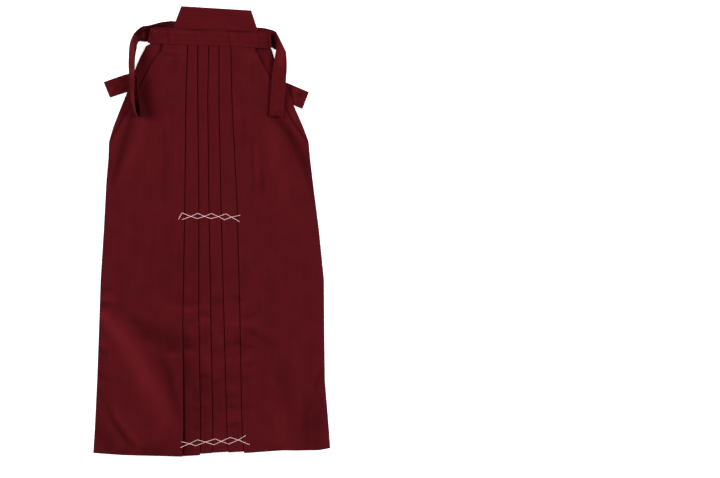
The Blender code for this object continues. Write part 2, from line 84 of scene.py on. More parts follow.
backHemRise = np.array((     # across, how much higher than the front hem
    (-227, 1.5), (-58, 2.5), (-24, 9), (54, 9), (76, 3), (227, 1.5)))
backFold = {"edge": -2, "depth": 16, "climb": 12, "ramp": 36}
bandCorners = {"topLeft": (-116.3, 392), "topRight": (112.8, 382),
               "lowLeft": (-123.6, 361.2), "lowRight": (115.3, 351.4)}
heights = {
    "first": 0.5, "second": 1.8, "third": 3.1, "boardLow": 2.6, "boardTop": 7.1,
    "bandBack": 7.9, "waist": 9.2, "bandFront": 13.1, "bandSide": 10.5, "bandEnd": 9.2,
    "tieLift": 3.9}


def softStep(value):
    value = np.clip(value, 0, 1)
    return value * value * (3 - 2 * value)


def readRow(table, place, column=1):
    # a column of a table at a place along its first one
    return np.interp(place, table[:, 0], table[:, column])


def softRow(table, column, place, soft):
    # the same, with the corners between the rows rounded
    shares = (-1, -0.6, -0.3, 0, 0.3, 0.6, 1)
    return sum(readRow(table, place + share * soft, column) for share in shares) / 7


def lineHeight(start, end, x):
    # y at x on the straight line through two points
    return start[1] + (end[1] - start[1]) * (x - start[0]) / (end[0] - start[0])


# A crease is a run of points: x, y, height in tenths, above 0 a ridge and below 0 a trough, and
# reach. Two reaches are left and right, seen along the run, and one left out is the same as at
# the point before. A point of x and y alone is an end that fades out, with a reach 1 less than
# its neighbour's.
frontCreases = (
    # beside the left slit: a trough along it, then a soft ridge
    ((-148, 232, -3, 8), (-157, 208, -17, 9), (-167, 176, -24, 9, 8), (-176, 142, -22), (-185, 110, -12, 8, 7),
     (-192, 84, -2, 7)),
    ((-128, 226, 3, 12, 9), (-135, 204, 8, 14, 10), (-145, 166, 11, 16, 11), (-156, 132, 8, 15, 11),
     (-167, 98, 2, 14, 9)),
    # beside the right slit: a trough along it, then a broad ridge
    ((116, 232, -2, 8), (129, 211, -15, 9), (152, 182, -28, 10), (171, 144, -28), (184, 110, -19, 9),
     (192, 82, -11, 8), (197, 50, -1, 7)),
    ((96, 222, 2, 15, 12), (106, 190, 6, 20, 16), (122, 138, 8, 23, 18), (137, 74, 4, 20, 16),
     (147, 26, 1, 16, 14)),
    # short upright creases of the upper legs
    ((76, 182, 0, 4), (77, 157, -13), (79, 120, -13), (79, 94, -7), (80, 68, 0)),
    ((84, 170, 0, 5), (85, 150, 7), (87, 106, 7), (88, 84, 0)),
    ((97, 122), (96, 106, -9, 5), (96, 76, -8), (95, 52)),
    ((-91, 205), (-90, 187, -8, 5), (-88, 130, -6, 6), (-90, 82, -3, 5), (-91, 50, 0)),
    ((-76, 246, 0, 4), (-76, 226, -5), (-77, 176, -5, 5), (-78, 150, 0)),
    ((62, 236, 0, 4), (63, 214, -5), (64, 170, -5, 5), (64, 148, 0)),
    # the large fold of the lower left, and the long trough above and beside it
    ((-228, -147, 6, 6, 8), (-212, -159, 38, 10, 12), (-200, -170, 62, 14, 16), (-176, -201, 82, 18, 20),
     (-154, -231, 76, 20, 23), (-134, -266, 46, 21, 25), (-115, -301, 30, 20, 27), (-98, -330, 17, 17, 28),
     (-88, -364, 7, 14, 28), (-84, -398, 2, 12, 26)),
    ((-182, -140, -3, 8, 8), (-158, -163, -9, 13, 10), (-138, -182, -13, 20, 12), (-118, -196, -15, 27, 18),
     (-94, -208, -16, 29, 23), (-74, -217, -17, 26, 20)),
    ((-104, -236, -4, 10), (-92, -256, -13, 13), (-80, -284, -17, 14), (-73, -314, -12, 13), (-67, -338, -7, 11),
     (-63, -364, -1, 9)),
    # troughs in the shade of both tie bundles, whose painted shade darkens the cloth there
    ((-134, 312), (-132, 288, -5, 5), (-130, 262, -8, 6), (-127, 240, -10, 7), (-123, 222, -8), (-120, 210, 0, 5)),
    ((111, 300), (110, 280, -5, 4), (110, 252, -7), (110, 230, -4), (111, 216, -3, 5), (126, 210, -4), (138, 214)),
    # small folds out of the left seam
    ((-226, -108), (-212, -110, -12, 5), (-198, -112, -11), (-182, -114)),
    ((-228, -126, 0, 4), (-214, -128, 19, 4.5), (-198, -129, 15), (-184, -130, 0, 4)),
    ((-228, -140), (-212, -141, -17, 5), (-200, -142, -14), (-186, -146)),
    ((-226, -176, 0, 2.5), (-219, -178, -16, 3), (-212, -181, -8), (-208, -183, 0, 2.5)),
    ((-224, -180), (-216, -184, -9, 6), (-212, -196, -5), (-206, -206)),
    ((-224, -206, 0, 5), (-216, -211, 11), (-204, -220, 9, 6), (-194, -228)),
    ((-226, -223, 0, 4), (-216, -226, -13), (-206, -234, -8), (-196, -240, 0)),
    ((-226, -268, 0, 5), (-216, -274, -12), (-202, -282, -7), (-190, -290)),
    ((-224, -298), (-216, -308, -10, 6), (-208, -322, -6), (-204, -334)),
    # storage folds across the legs, broken up by the pleats
    ((-58, -133), (-48, -134, -11, 5), (-30, -134, -13), (-18, -133)),
    ((-6, -129), (4, -130, -10, 5), (20, -130, -8), (44, -130, -5, 4), (56, -130, -9, 5), (66, -129)),
    ((-100, -136, 0, 9), (-84, -143, 5, 11), (-64, -149, 6, 10), (-52, -149, 13, 6), (-24, -147, 15, 5.5),
     (-6, -149, 9, 5), (8, -152, 5, 6), (24, -154)),
    ((-26, -160, 0, 4), (-18, -162, -8), (-2, -165, -9), (10, -166, 0)),
    ((58, -166, 0, 4), (68, -164, -11, 4.5), (82, -158, -12), (94, -154, 0, 4)),
    ((90, -130), (91, -136, -6, 4), (91, -148, -6), (91, -156)),
    ((-56, -169, 0, 4), (-50, -170, -5), (-32, -170, -4), (-24, -170, 0)),
    ((-30, -178, 0, 7), (-20, -177, 9, 9), (-4, -177, 8), (6, -176, 3, 8), (20, -176)),
    ((22, -182), (32, -181, 11, 6), (48, -180, 11), (60, -178, 11), (78, -178, 10), (92, -180)),
    ((-6, -188), (2, -189, -7, 5), (20, -189, -7), (28, -189)),
    ((64, -190), (78, -194, -7, 8), (98, -206, -9, 9), (118, -217, -5, 8), (134, -222)),
    ((-60, -200, -2, 8), (-50, -206, -8, 9), (-36, -208, -6), (-18, -210, -5, 11), (0, -208)),
    ((-56, -218, -4, 4), (-44, -219, -12, 4.5), (-34, -218, -12, 4), (-26, -217, 0)),
    ((-4, -222), (8, -223, -11, 5), (24, -222, -10, 6), (40, -217, -12, 9), (54, -216, -12), (64, -221, -12, 6),
     (82, -221, -9, 5), (94, -219)),
    ((-56, -232, 0, 5), (-46, -232, 6), (-34, -232, 7), (-24, -232)),
    ((-94, -238, 0, 4), (-82, -239, 6), (-64, -240, 10, 4.5), (-52, -241, 0, 4)),
    ((24, -248), (34, -250, 8, 6), (48, -250, 8), (56, -247, 9), (74, -243, 8), (90, -242)),
    ((58, -257, 0, 4), (66, -257, -8), (76, -257, -7), (84, -256, 0)),
    ((-52, -247, -2, 8), (-50, -268, -9, 9), (-48, -290, -5, 8), (-46, -304)),
    ((-22, -242), (-12, -246, 6, 7), (-6, -262, 4), (-8, -274)),
    ((-30, -281), (-16, -282, -8, 7), (4, -284, -9), (24, -281, -5), (36, -280)),
    ((30, -287), (42, -286, -8, 7), (62, -281, -7), (84, -279)),
    ((-40, -304, 0, 16), (-28, -304, -5, 18), (0, -308, -6, 20), (16, -312, -5), (40, -312, 0, 16)),
    ((24, -302), (34, -303, 4, 5), (46, -304, 4), (60, -303)),
    ((-44, -318), (-24, -320, -5, 6), (-8, -321)),
    ((8, -325), (22, -324, -5, 6), (44, -319, -4), (58, -318)),
    ((-48, -338), (-28, -340, -10, 6), (-8, -342, -5), (4, -342)),
    ((2, -336), (20, -337, -9, 6), (44, -340, -11), (62, -339, -6), (78, -338)),
    ((-42, -356, 0, 9), (-18, -358, -3, 11), (8, -358, -2, 10), (24, -356)),
    ((28, -361), (44, -358, 3, 7), (64, -357)),
    ((-46, -373), (-26, -374, -8, 5), (-8, -373)),
    ((6, -377), (24, -376, -6, 5), (44, -374, -9), (66, -373)),
    # lower left corner: a narrow trough, a ridge beside it, and the lower ground of the corner
    ((-203, -330, -2, 5), (-198, -348, -13), (-190, -364, -22, 5.5), (-180, -379, -27), (-168, -396, -23),
     (-156, -408, -15, 5), (-142, -416, -8, 4.5), (-124, -420, 0)),
    ((-190, -334, 3, 9, 7), (-179, -354, 9, 10, 7), (-165, -377, 13), (-146, -400, 9, 11, 8), (-140, -430, 4)),
    ((-222, -356, -3, 12), (-216, -382, -9, 16), (-202, -408, -10, 20), (-184, -430, -7, 18)),
    # right seam and lower right
    ((216, -262), (206, -277, -10, 6), (200, -300, -11), (207, -323, -6, 5), (214, -338, 0)),
    ((118, -330, 1, 12), (126, -354, 5, 14), (131, -384, 9, 16), (138, -408, 7), (143, -432, 3, 14)),
    ((196, -312, 0, 10), (188, -336, -9, 14), (182, -362, -15, 15), (180, -386, -12), (182, -414, -5, 14)),
    ((214, -330, -2, 10), (208, -352, -9, 14), (204, -380, -9, 16), (204, -412, -6), (206, -430, -3, 14)),
    ((98, -180, 0, 14), (116, -240, -3, 18), (136, -300, -5, 20), (152, -330, -3, 18), (160, -350, 0, 14)),
    # puckers and pressed lines under the band
    ((-96, 343, 0, 3), (-84, 345, 12, 3.4), (-70, 344, 9), (-56, 346, 0, 3)),
    ((-92, 334, 0, 4), (-80, 333, 10), (-64, 336, 0)),
    ((-100, 347, -8, 2.4), (-94, 344, -30, 2.6), (-84, 340, -20), (-70, 339, -8), (-60, 340, 0)),
    ((52, 338, 0, 3), (64, 336, 11, 3.4), (76, 337, 10), (86, 334, 0, 3)),
    ((58, 327, 0, 4), (70, 325, 9), (82, 326, 0)),
    ((78, 346, -6, 2.2), (88, 345, -22, 2.4), (98, 344.6, -34), (108, 345.4, -26), (114, 346, -6, 2.2)),
    ((60, 343, 0, 3), (72, 341.5, 9), (84, 340.5, 6), (90, 340, 0)),
)
backCreases = (
    # under the left tie and down from it
    ((112, 246, -3, 9), (120, 230, -10, 11), (127, 204, -13, 12), (141, 176, -13, 14), (158, 146, -11),
     (166, 112, -6, 12), (168, 84, 0, 10)),
    ((134, 222), (143, 202, 10, 10), (152, 182, 8), (160, 164, 0, 8)),
    ((98, 196, 0, 9), (100, 178, -7, 12), (96, 150, -4, 11), (94, 130, 0, 9)),
    ((80, 226, 0, 4), (80, 208, -8), (80, 186, -7, 5), (81, 168)),
    ((166, 60, 0, 12), (167, 24, -7, 15), (161, -18, -7), (155, -58, -9, 13), (143, -88, -8, 10),
     (132, -112, -9, 8), (126, -134)),
    ((80, 62), (80, 40, -5, 5), (81, 0, -4), (82, -26, -8), (82, -58, -8, 4), (82, -74, 0)),
    # upper right
    ((-98, 174), (-110, 157, -9, 8), (-136, 137, -8, 10), (-162, 112, -9, 9), (-186, 88, -7, 7), (-198, 70, 0, 5)),
    ((-92, 268), (-104, 250, -7, 7), (-118, 226, -5, 8), (-132, 204)),
    ((-116, 262), (-128, 240, 6, 7), (-146, 212, 6, 8), (-158, 190)),
    ((-79, 42), (-79, 26, -9, 6), (-79, 2, -8), (-78, -30, -4), (-77, -68)),
    # the broad trough across the lower left, with a ridge at each side
    ((202, -70, -2, 12), (190, -92, -9, 15), (176, -116, -15, 16), (151, -155, -19), (117, -184, -18, 15),
     (90, -213, -15, 14), (75, -242, -9, 13), (72, -276, -3, 11)),
    ((176, -74, 2, 9), (164, -96, 12, 11), (144, -130, 9, 12), (118, -158, 3, 11)),
    ((200, -126, 2, 12), (182, -150, 11, 14), (152, -186, 12, 16), (120, -214, 10, 17), (99, -248, 7, 16),
     (90, -292, 1, 14)),
    # storage folds
    ((0, -116), (-14, -117, -9, 6), (-50, -118, -8), (-72, -116)),
    ((0, -130), (-20, -131, 6, 7), (-54, -131, 5), (-72, -130)),
    ((58, -142), (40, -144, -6, 6), (12, -142, -5), (2, -142)),
    ((-2, -152), (-14, -154, -11, 6), (-46, -158, -10, 8), (-80, -162, -8, 7), (-92, -162)),
    ((64, -168), (44, -169, 8, 7), (10, -167, 7), (-24, -172, 7, 6), (-66, -176, 6), (-82, -176)),
    ((70, -180), (50, -180, -12, 5), (14, -179, -13), (-6, -181, -5), (-26, -184, -8), (-58, -184, 0)),
    ((60, -196), (30, -196, 6, 7), (6, -195, 4), (-10, -195)),
    ((-66, -184), (-70, -194, -11, 5), (-78, -222, -9, 6), (-82, -240)),
    ((-58, -198), (-60, -212, 7, 5), (-64, -244)),
    ((-64, -266), (-66, -278, -10, 5), (-71, -318, -9), (-72, -334)),
    ((-94, -112), (-94, -126, -7, 5), (-94, -160, -5), (-94, -174)),
    # the broad trough of the lower right and the sharp ridge beyond it
    ((-192, -168, -3, 7), (-184, -206, -9, 9), (-171, -262, -12, 13), (-156, -312, -16, 17), (-138, -360, -16, 18),
     (-126, -396, -10, 16), (-118, -420, -3, 13)),
    ((-206, -276, 2, 5), (-195, -308, 13), (-180, -352, 16, 5.5), (-162, -398, 12, 6), (-154, -422, 5)),
    ((-196, -250, 2, 9), (-188, -282, 7), (-176, -318, 3, 8)),
    # small folds at both seams
    ((206, -112), (196, -116, -12, 5), (186, -122)),
    ((208, -128, 0, 4), (197, -131, 10), (186, -136, 0)),
    ((210, -142, 0, 4), (198, -146, -12), (188, -150, 0)),
    ((212, -188), (202, -196, -10, 6), (194, -214, -5), (190, -226)),
    ((212, -222), (200, -230, 9, 6), (190, -240)),
    ((214, -268, 0, 5), (204, -274, -10), (192, -284)),
    ((214, -306), (206, -318, -9, 6), (200, -336)),
    ((-192, -138), (-176, -152, -9, 5), (-160, -164, -8), (-150, -166)),
    ((-196, -112, 0, 4), (-186, -113, -10), (-174, -116, 0)),
    ((-196, -126, 0, 4), (-186, -127, -9), (-174, -131, 0)),
    # above the hem
    ((132, -276), (126, -288, -8, 6), (112, -312, -7), (104, -328)),
    ((139, -316), (139, -328, -9, 4), (140, -370, -10, 5), (139, -410, -5, 4)),
    ((150, -320, 0, 10), (154, -350, 8, 13), (158, -386, 7, 14), (160, -412, 2, 12)),
    ((196, -336, -2, 8), (198, -366, -9, 10), (192, -396, -7, 11), (186, -420, -2, 9)),
)


def throughPoints(points, step):
    # a smooth run through rows of numbers, cut about every step
    points = np.asarray(points, float)
    ends = np.vstack((2 * points[0] - points[1], points, 2 * points[-1] - points[-2]))
    run = []
    for i in range(1, len(points)):
        p0, p1, p2, p3 = ends[i - 1:i + 3]
        parts = max(1, math.ceil(np.linalg.norm((p2 - p1)[:3]) / step))
        for t in np.arange(parts) / parts:
            run.append(0.5 * (2 * p1 + (p2 - p0) * t + (2 * p0 - 5 * p1 + 4 * p2 - p3) * t * t
                              + (3 * p1 - p0 - 3 * p2 + p3) * t ** 3))
    run.append(points[-1])
    return np.array(run)


def creaseRun(crease):
    # the rows of a crease in full, cut about every 9 mm
    rows, reach = [], crease[1][3:]
    for place in crease:
        x, y, height = (*place, 0)[:3]
        if len(place) == 2:
            reach = (reach[0] - 1,) * 2
        elif len(place) > 3:
            reach = place[3:]
        rows.append((x, y, height / 10, reach[0], reach[-1]))
    return throughPoints(rows, 9)


class reliefMap:
    # heights of a set of creases on a plan of the garment, with their painted light and shade, read back between
    # its points
    step = 2.0
    crisp = 1.5              # a crease's painted light and shade fall off sooner than its height
    left, low, right, high = -240, -445, 240, 400

    def __init__(self, creases):
        self.xs = np.arange(self.left, self.right + self.step, self.step)
        self.ys = np.arange(self.low, self.high + self.step, self.step)
        x, y = np.meshgrid(self.xs, self.ys)
        self.lift = np.zeros_like(x)
        self.tone = np.zeros_like(x)     # painted light and shade: how much a crease catches the light
        for crease in creases:
            run = creaseRun(crease)
            best, bestTone = np.zeros_like(x), np.zeros_like(x)
            for start, end in zip(run[:-1], run[1:]):
                widest = 3.2 * max(start[3:].max(), end[3:].max())
                box = ((x > min(start[0], end[0]) - widest) & (x < max(start[0], end[0]) + widest)
                       & (y > min(start[1], end[1]) - widest) & (y < max(start[1], end[1]) + widest))
                dx, dy = end[0] - start[0], end[1] - start[1]
                share = ((x[box] - start[0]) * dx + (y[box] - start[1]) * dy) / (dx * dx + dy * dy)
                share = np.clip(share, 0, 1)
                offX, offY = x[box] - start[0] - dx * share, y[box] - start[1] - dy * share
                leftSide = dx * offY - dy * offX > 0
                here = start[:, None] + (end - start)[:, None] * share
                away = (offX ** 2 + offY ** 2) / np.where(leftSide, here[3], here[4]) ** 2
                value = here[2] * np.exp(-away)
                shade = here[2] / (2.5 + np.abs(here[2])) * np.exp(-self.crisp * away)
                held, heldTone = best[box], bestTone[box]
                best[box] = np.where(np.abs(value) > np.abs(held), value, held)
                bestTone[box] = np.where(np.abs(shade) > np.abs(heldTone), shade, heldTone)
            self.lift += best
            self.tone += bestTone
        self.lift = self.softened(self.lift, 2)     # rounds the joins between runs
        self.tone = self.softened(self.tone, 1)

    def softened(self, lift, rounds):
        for axis in (0, 1) * rounds:
            lift = (np.roll(lift, 1, axis) + 2 * lift + np.roll(lift, -1, axis)) / 4
        return lift

    def at(self, x, y, layer="lift"):
        column = np.clip((x - self.left) / self.step, 0, len(self.xs) - 1.001)
        row = np.clip((y - self.low) / self.step, 0, len(self.ys) - 1.001)
        j, i = column.astype(int), row.astype(int)
        a, b = column - j, row - i
        m = getattr(self, layer)
        return ((m[i, j] * (1 - a) + m[i, j + 1] * a) * (1 - b)
                + (m[i + 1, j] * (1 - a) + m[i + 1, j + 1] * a) * b)


frontRelief = reliefMap(frontCreases)
backRelief = reliefMap(backCreases)
print("creases laid out")


# how high the cloth lies
lay = {
    "tieRun": 100,           # length of the soft rise over the folded front ties
    "tieEarly": 56,          # how far below the ties it starts
    "tiesTop": 308,          # where it sinks again at the sides, up to the slits' top
    "slitTop": 350,
    "tieSlack": 0.5,
    "seamDrop": 2.3,         # how far the middle sinks between the ties and the band
    "backRest": 0.35,        # air under the back cloth between its creases
    "backMost": 1.5,
    "backRestTop": 342,
    "threadRoom": 1.25,      # the back stands off this much over its basting thread
    "frontLoft": 2.4,        # air under the front cloth, so that a trough has room
    "loftEdge": 18,          # width of its slope at the side seams
    "loftTop": 310,
    "waistStart": 296,       # from here the cloth rises to go under the band
    "leastLoft": -0.2,
    "lapTop": 1.8,           # level of a pleat's folded edge
    "lapCurve": 13,          # how soon the cloth rises to the next pleat
    "standOff": 2,           # how far the first fold's edge stands up towards the hem
    "standTop": -190,
    "standPaintedShadow": 0.5,       # how dark the painted shadow beside that fold gets
    "outerClimb": 24,        # width of the slope up to the first pleat
    "middlePuff": 1.5,
    "pucker": 0.6,
    "edgeDroop": 0.85,       # the waist's rise that the slit edges leave out
    "seamUnderFourth": 9.5,
    "leafShift": {           # along the garment, of each leaf's creases
        "right": (0, 2, -4, 5), "left": (0, -3.5)},
    "paintedShades": (              # painted light and shade on the front: x, y, reach across, reach along, amount
        (-62, -76, 44, 62, -0.13), (-76, 178, 26, 38, 0.12), (-112, -425, 58, 22, -0.34),
        (127, -413, 13, 5, -0.30)),
}


def tieLift(x, y):
    # how far the folded ties lift the cloth; it sinks again at the sides, and in the middle
    # between the ties and the band
    rise = softStep((y - readRow(tieRiseLine, x) + lay["tieEarly"]) / lay["tieRun"])
    beyondTies = softStep((y - lay["tiesTop"]) / 20) * softStep((lay["slitTop"] - y) / 12)
    edgeDrop = 0.6 * softStep((np.abs(x + 3) - 112) / 26) * beyondTies
    centreDrop = lay["seamDrop"] * softStep((y - 352) / 10) * softStep((x + 26) / 14) * softStep((56 - x) / 18)
    return heights["tieLift"] * rise * (1 - edgeDrop) - centreDrop


def waviness(x, y):
    # the slight unevenness of pressed cloth
    return (0.15 * np.sin(x / 17 + 1.4 * np.sin(y / 53 + 0.4)) * np.sin(y / 29 + 0.8)
            + 0.11 * np.sin(x / 9.7 + y / 41 + 2.1) * np.sin(y / 61 - x / 37)
            + 0.10 * np.sin(x / 31 - y / 23 + 0.6))


def insideSeams(x, y):
    # 0 at the side seams, 1 from a little way in
    return softStep(np.minimum(x - readRow(sideSeams, y), readRow(sideSeams, y, 2) - x) / lay["loftEdge"])


def backLift(x, y):
    # the back cloth over its creases and its basting thread, down to nothing under the waist
    lift = lay["backRest"] - backRelief.at(x, y) + 0.6 * waviness(y * 0.9, x)
    room = lay["threadRoom"] * np.exp(-((x + 1) / 11) ** 4) * softStep((268 - y) / 14)
    lift = np.maximum(np.clip(lift, 0, lay["backMost"]) * insideSeams(x, y), room)
    return lift * softStep((lay["backRestTop"] - y) / 30)


def backMid(x, y, level=0):
    return heights["first"] + tieLift(x, y) + backLift(x, y) + level * cloth["pitch"]


def frontMid(x, y, level=0, fromEdge=None):
    # the middle of the front cloth: over the back's centre fold, the ties and its own creases,
    # flat towards the side edges, and up under the band
    ramp = backFold["ramp"]
    left = softStep((x - backFold["edge"] + 3 + ramp) / ramp)
    right = softStep((backFold["edge"] + backFold["depth"] + 2 + ramp - x) / ramp)
    mound = 2 * left * right
    share = tieLift(x, y) / heights["tieLift"]
    slack = lay["tieSlack"] * softStep(share / 0.06) * softStep((1 - share) / 0.1)
    loft = lay["frontLoft"] + frontRelief.at(x, y) + waviness(x, y)
    loft = np.maximum(loft, backLift(x, y) + lay["leastLoft"])
    pucker = lay["pucker"] * np.maximum(frontRelief.at(x, y), 0) * softStep((y - 300) / 20)
    if fromEdge is not None:
        near = softStep(fromEdge / lay["loftEdge"])
        loft = loft * near - 0.3 * softStep(1 - fromEdge / 4) * (y < slitBottom - 10)
    base = heights["first"] + tieLift(x, y) + (1 + mound) * cloth["pitch"] + slack
    base = base + loft * softStep((lay["loftTop"] - y) / 40)
    waist = softStep((y - lay["waistStart"]) / 50)
    if fromEdge is not None:
        waist = waist * (1 - lay["edgeDroop"] * softStep(1 - fromEdge / 26) * softStep((354 - y) / 12))
    return base + (heights["waist"] - base) * waist + pucker + level * cloth["pitch"]


def paintedLightAndShade(grid, table):
    # painted light and shade from rows of x, y, reach across, reach along and amount
    total = 0
    for x, y, across, along, amount in table:
        total = total + amount * np.exp(-((grid[..., 0] - x) / across) ** 2 - ((grid[..., 1] - y) / along) ** 2)
    return total


# every sheet is a closed shell round a grid of points
def gridNormals(grid):
    normal = np.cross(np.gradient(grid, axis=1), np.gradient(grid, axis=0))
    return normal / np.maximum(np.linalg.norm(normal, axis=2, keepdims=True), 1e-9)


def markPoints(mesh, place, press=0, tone=0):
    # what the materials read at each point: its place on the flat cloth, how far it is pressed into a fold, which
    # is painted lighter as a highlight, and the painted light and shade of the creases
    mesh.attributes.new("clothPlace", "FLOAT_VECTOR", "POINT").data.foreach_set("vector", np.ravel(place))
    for label, values in (("foldPress", press), ("paintedCreaseShading", tone)):
        values = np.broadcast_to(np.asarray(values, float), len(mesh.vertices))
        mesh.attributes.new(label, "FLOAT", "POINT").data.foreach_set("value", values.copy())


def clothShell(name, grid, upper, lower, place, press, material, roundness=0.55, tone=0):
    # a closed sheet round a grid of points on the middle of the cloth; upper and lower are
    # how far its two sides stand off, place is where each point is on the flat cloth, and
    # roundness is how far the rim stands out
    rows, columns = grid.shape[:2]
    upper, lower = (np.broadcast_to(side, (rows, columns)) for side in (upper, lower))
    normal = gridNormals(grid)
    top, bottom = grid + normal * upper[..., None], grid - normal * lower[..., None]
    index = np.arange(rows * columns).reshape(rows, columns)
    i, j = np.array([(0, j) for j in range(columns)] + [(i, columns - 1) for i in range(1, rows)]
                    + [(rows - 1, j) for j in range(columns - 2, -1, -1)]
                    + [(i, 0) for i in range(rows - 2, 0, -1)]).T      # round the rim
    out = grid[i, j] - grid[np.clip(i, 1, rows - 2), np.clip(j, 1, columns - 2)]
    out = out / np.maximum(np.linalg.norm(out, axis=1, keepdims=True), 1e-9)
    rimPoints = (top[i, j] + bottom[i, j]) / 2 + out * (upper + lower)[i, j, None] / 2 * roundness
    points = np.vstack((top.reshape(-1, 3), bottom.reshape(-1, 3), rimPoints)) * mm
    a, b, c, d = (part.ravel() for part in (index[:-1, :-1], index[:-1, 1:], index[1:, 1:], index[1:, :-1]))
    half = rows * columns
    here, ring = index[i, j], 2 * half + np.arange(len(i))
    there, ringNext = np.roll(here, -1), np.roll(ring, -1)
    faces = np.concatenate([np.stack(corners, 1) for corners in (
        (a, b, c, d), (a + half, d + half, c + half, b + half),
        (here, ring, ringNext, there), (ring, here + half, there + half, ringNext))])
    mesh = bpy.data.meshes.new(name)
    mesh.from_pydata(points.tolist(), [], faces.tolist())
    tone = tone + np.zeros(grid.shape[:2])
    # the rim is painted darker all round, a painted shade along every edge, and counts as fully pressed for the
    # painted edge highlight
    markPoints(mesh, np.vstack((place.reshape(-1, 3), place.reshape(-1, 3), place[i, j])),
               np.concatenate((press.ravel(), press.ravel(), np.ones(len(i)))),
               np.concatenate((tone.ravel(), tone.ravel(), tone[i, j] - 0.5)))
    piece = finishPiece(name, mesh, material)
    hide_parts(name)
    return piece


def finishPiece(name, mesh, material):
    # every piece rides on the one body
    mesh.shade_smooth()
    mesh.materials.append(material)
    piece = bpy.data.objects.new(name, mesh)
    bpy.context.scene.collection.objects.link(piece)
    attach(piece, "root")
    return piece


def flatPlaces(grid):
    # where each point of a grid is on its flat cloth, from the lengths along and across
    across = np.cumsum(np.linalg.norm(np.diff(grid, axis=1), axis=2), axis=1)
    across = np.concatenate((np.zeros((len(grid), 1)), across), axis=1)
    middle = across[:, across.shape[1] // 2][:, None]
    along = np.cumsum(np.linalg.norm(np.diff(grid[:, grid.shape[1] // 2], axis=0), axis=1))
    along = np.broadcast_to(np.concatenate(([0], along))[:, None], across.shape)
    return np.stack((across - middle, along, np.zeros_like(across)), axis=2)


# front and back panels
def frontSide(column, y):
    return np.where(y > slitBottom, softRow(slitEdges, column, y, 5), softRow(sideSeams, column, y, 4))


def frontHeight(x, nominal, rise=0):
    low = readRow(hemLine, x) + rise
    top = lineHeight(bandCorners["topLeft"], bandCorners["topRight"], x) - 5
    return low + (top - low) * (nominal - hem) / (frontTop - hem)


def backHeight(x, nominal):
    low = readRow(hemLine, x) + readRow(backHemRise, x)
    top = readRow(backTopLine, x)
    return low + (top - low) * (nominal - hem) / (backTop - hem)


def sectionColumns(nominal):
    # collects the columns of a panel's section; each is x and level over all rows, the leaf
    # between two pleats that it lies in, and how far it is pressed
    columns = []

    def add(x, level, leaf, press=0):
        columns.append((x + 0 * nominal, level + 0 * nominal, leaf, press))
    return columns, add


def addRun(add, shares, start, end, level, leaf):
    # a level stretch of cloth
    for share in shares:
        add(start + (end - start) * share, level, leaf)


def addTurn(add, edge, facing, high, low, leaf):
    # a folded edge: its rim lies at edge and faces +X or -X
    reach = cloth["pitch"] / 2
    centre = edge - facing * (cloth["half"] + reach)
    for angle in np.linspace(math.pi / 2, -math.pi / 2, cloth["arcPoints"]):
        level = (high + low) / 2 + (high - low) / 2 * math.sin(angle)
        add(centre + facing * reach * math.cos(angle), level, leaf, 0.5 + 0.5 * math.cos(angle))


def frontSection(half, nominal):
    # from the side edge in: out to the first pleat, then each folded edge with its hidden layers
    lines = [softRow(pleatLines, column, nominal, 22) for column in range(1, 6)]
    depth = softRow(pleatLines, 6, nominal, 22)
    if half == "right":
        facing, side, edges, closing = 1, 1, lines[:3], lines[3] + lay["seamUnderFourth"]
    else:
        facing, side, edges, closing = -1, 2, [lines[4], lines[3]], None
    outer = frontSide(side, nominal)
    outer = frontSide(side, frontHeight(outer, nominal))
    columns, add = sectionColumns(nominal)
    flatEnd = edges[0] - facing * (depth + lay["outerClimb"])
    count = int(np.max(np.abs(flatEnd - outer)) / cloth["columnStep"]) + 2
    addRun(add, np.linspace(0, 1, count) ** 1.12, outer, flatEnd, 0, 0)     # closer together at the side edge
    for share in np.linspace(0.125, 1, 8):
        add(flatEnd + facing * lay["outerClimb"] * share, 2 * softStep(share), 0)
    reach = cloth["half"] + cloth["pitch"] / 2
    top = lay["lapTop"]
    for leaf, line in enumerate(edges):
        edgeTop = top
        if leaf == 0:
            if half == "right":
                edgeTop = top + lay["standOff"] * softStep((lay["standTop"] - nominal) / 130)
            for share in (0.3, 0.6, 0.85):
                add(line - facing * (depth + (reach - depth) * share), 2 + (edgeTop - 2) * share ** 1.6, 0)
        addTurn(add, line, facing, edgeTop, 1, leaf)
        if closing is None and leaf == len(edges) - 1:
            addRun(add, (0.35, 0.7, 1), line - facing * reach, line - facing * (depth - 1), 1, leaf)
            break
        addRun(add, (0.3, 0.6), line - facing * reach, line - facing * (depth - reach), 1, leaf)
        addTurn(add, line - facing * depth, -facing, 1, 0, leaf)
        addRun(add, (0.3, 0.7), line - facing * (depth - reach), line, 0, leaf + 1)
        if leaf + 1 < len(edges):
            start = line + facing
            end = edges[leaf + 1] - facing * reach
            # the cloth comes up quickly beside the fold and lies level to the next one
            for share in (0, 0.02, 0.045, 0.08, 0.12, 0.17, 0.24, 0.33, 0.45, 0.6, 0.75, 0.9):
                level = top * (1 - math.exp(-lay["lapCurve"] * share)) / (1 - math.exp(-lay["lapCurve"]))
                add(start + (end - start) * share, level, leaf + 1)
        elif closing is not None:
            # the middle strip, and its end under the other half
            start, end = line + facing, lines[3] - facing
            for share in (0, 0.025, 0.06, 0.1, 0.16, 0.25, 0.4, 0.6, 0.75, 0.84, 0.9, 0.94, 0.975, 1):
                puff = (1 - math.exp(-15 * share)) * (1 - math.exp(-15 * (1 - share)))
                add(start + (end - start) * share, lay["middlePuff"] * puff, leaf + 1)
            addRun(add, (0.35, 0.7, 1), end, closing, 0, leaf + 1)
    return columns, outer


def hemBand(fromHem):
    # the turned-up hem is thicker, with a fine groove where it is sewn
    return 0.22 * softStep((9.5 - fromHem) / 1.5) - 0.13 * np.exp(-((fromHem - 8) / 0.9) ** 2)


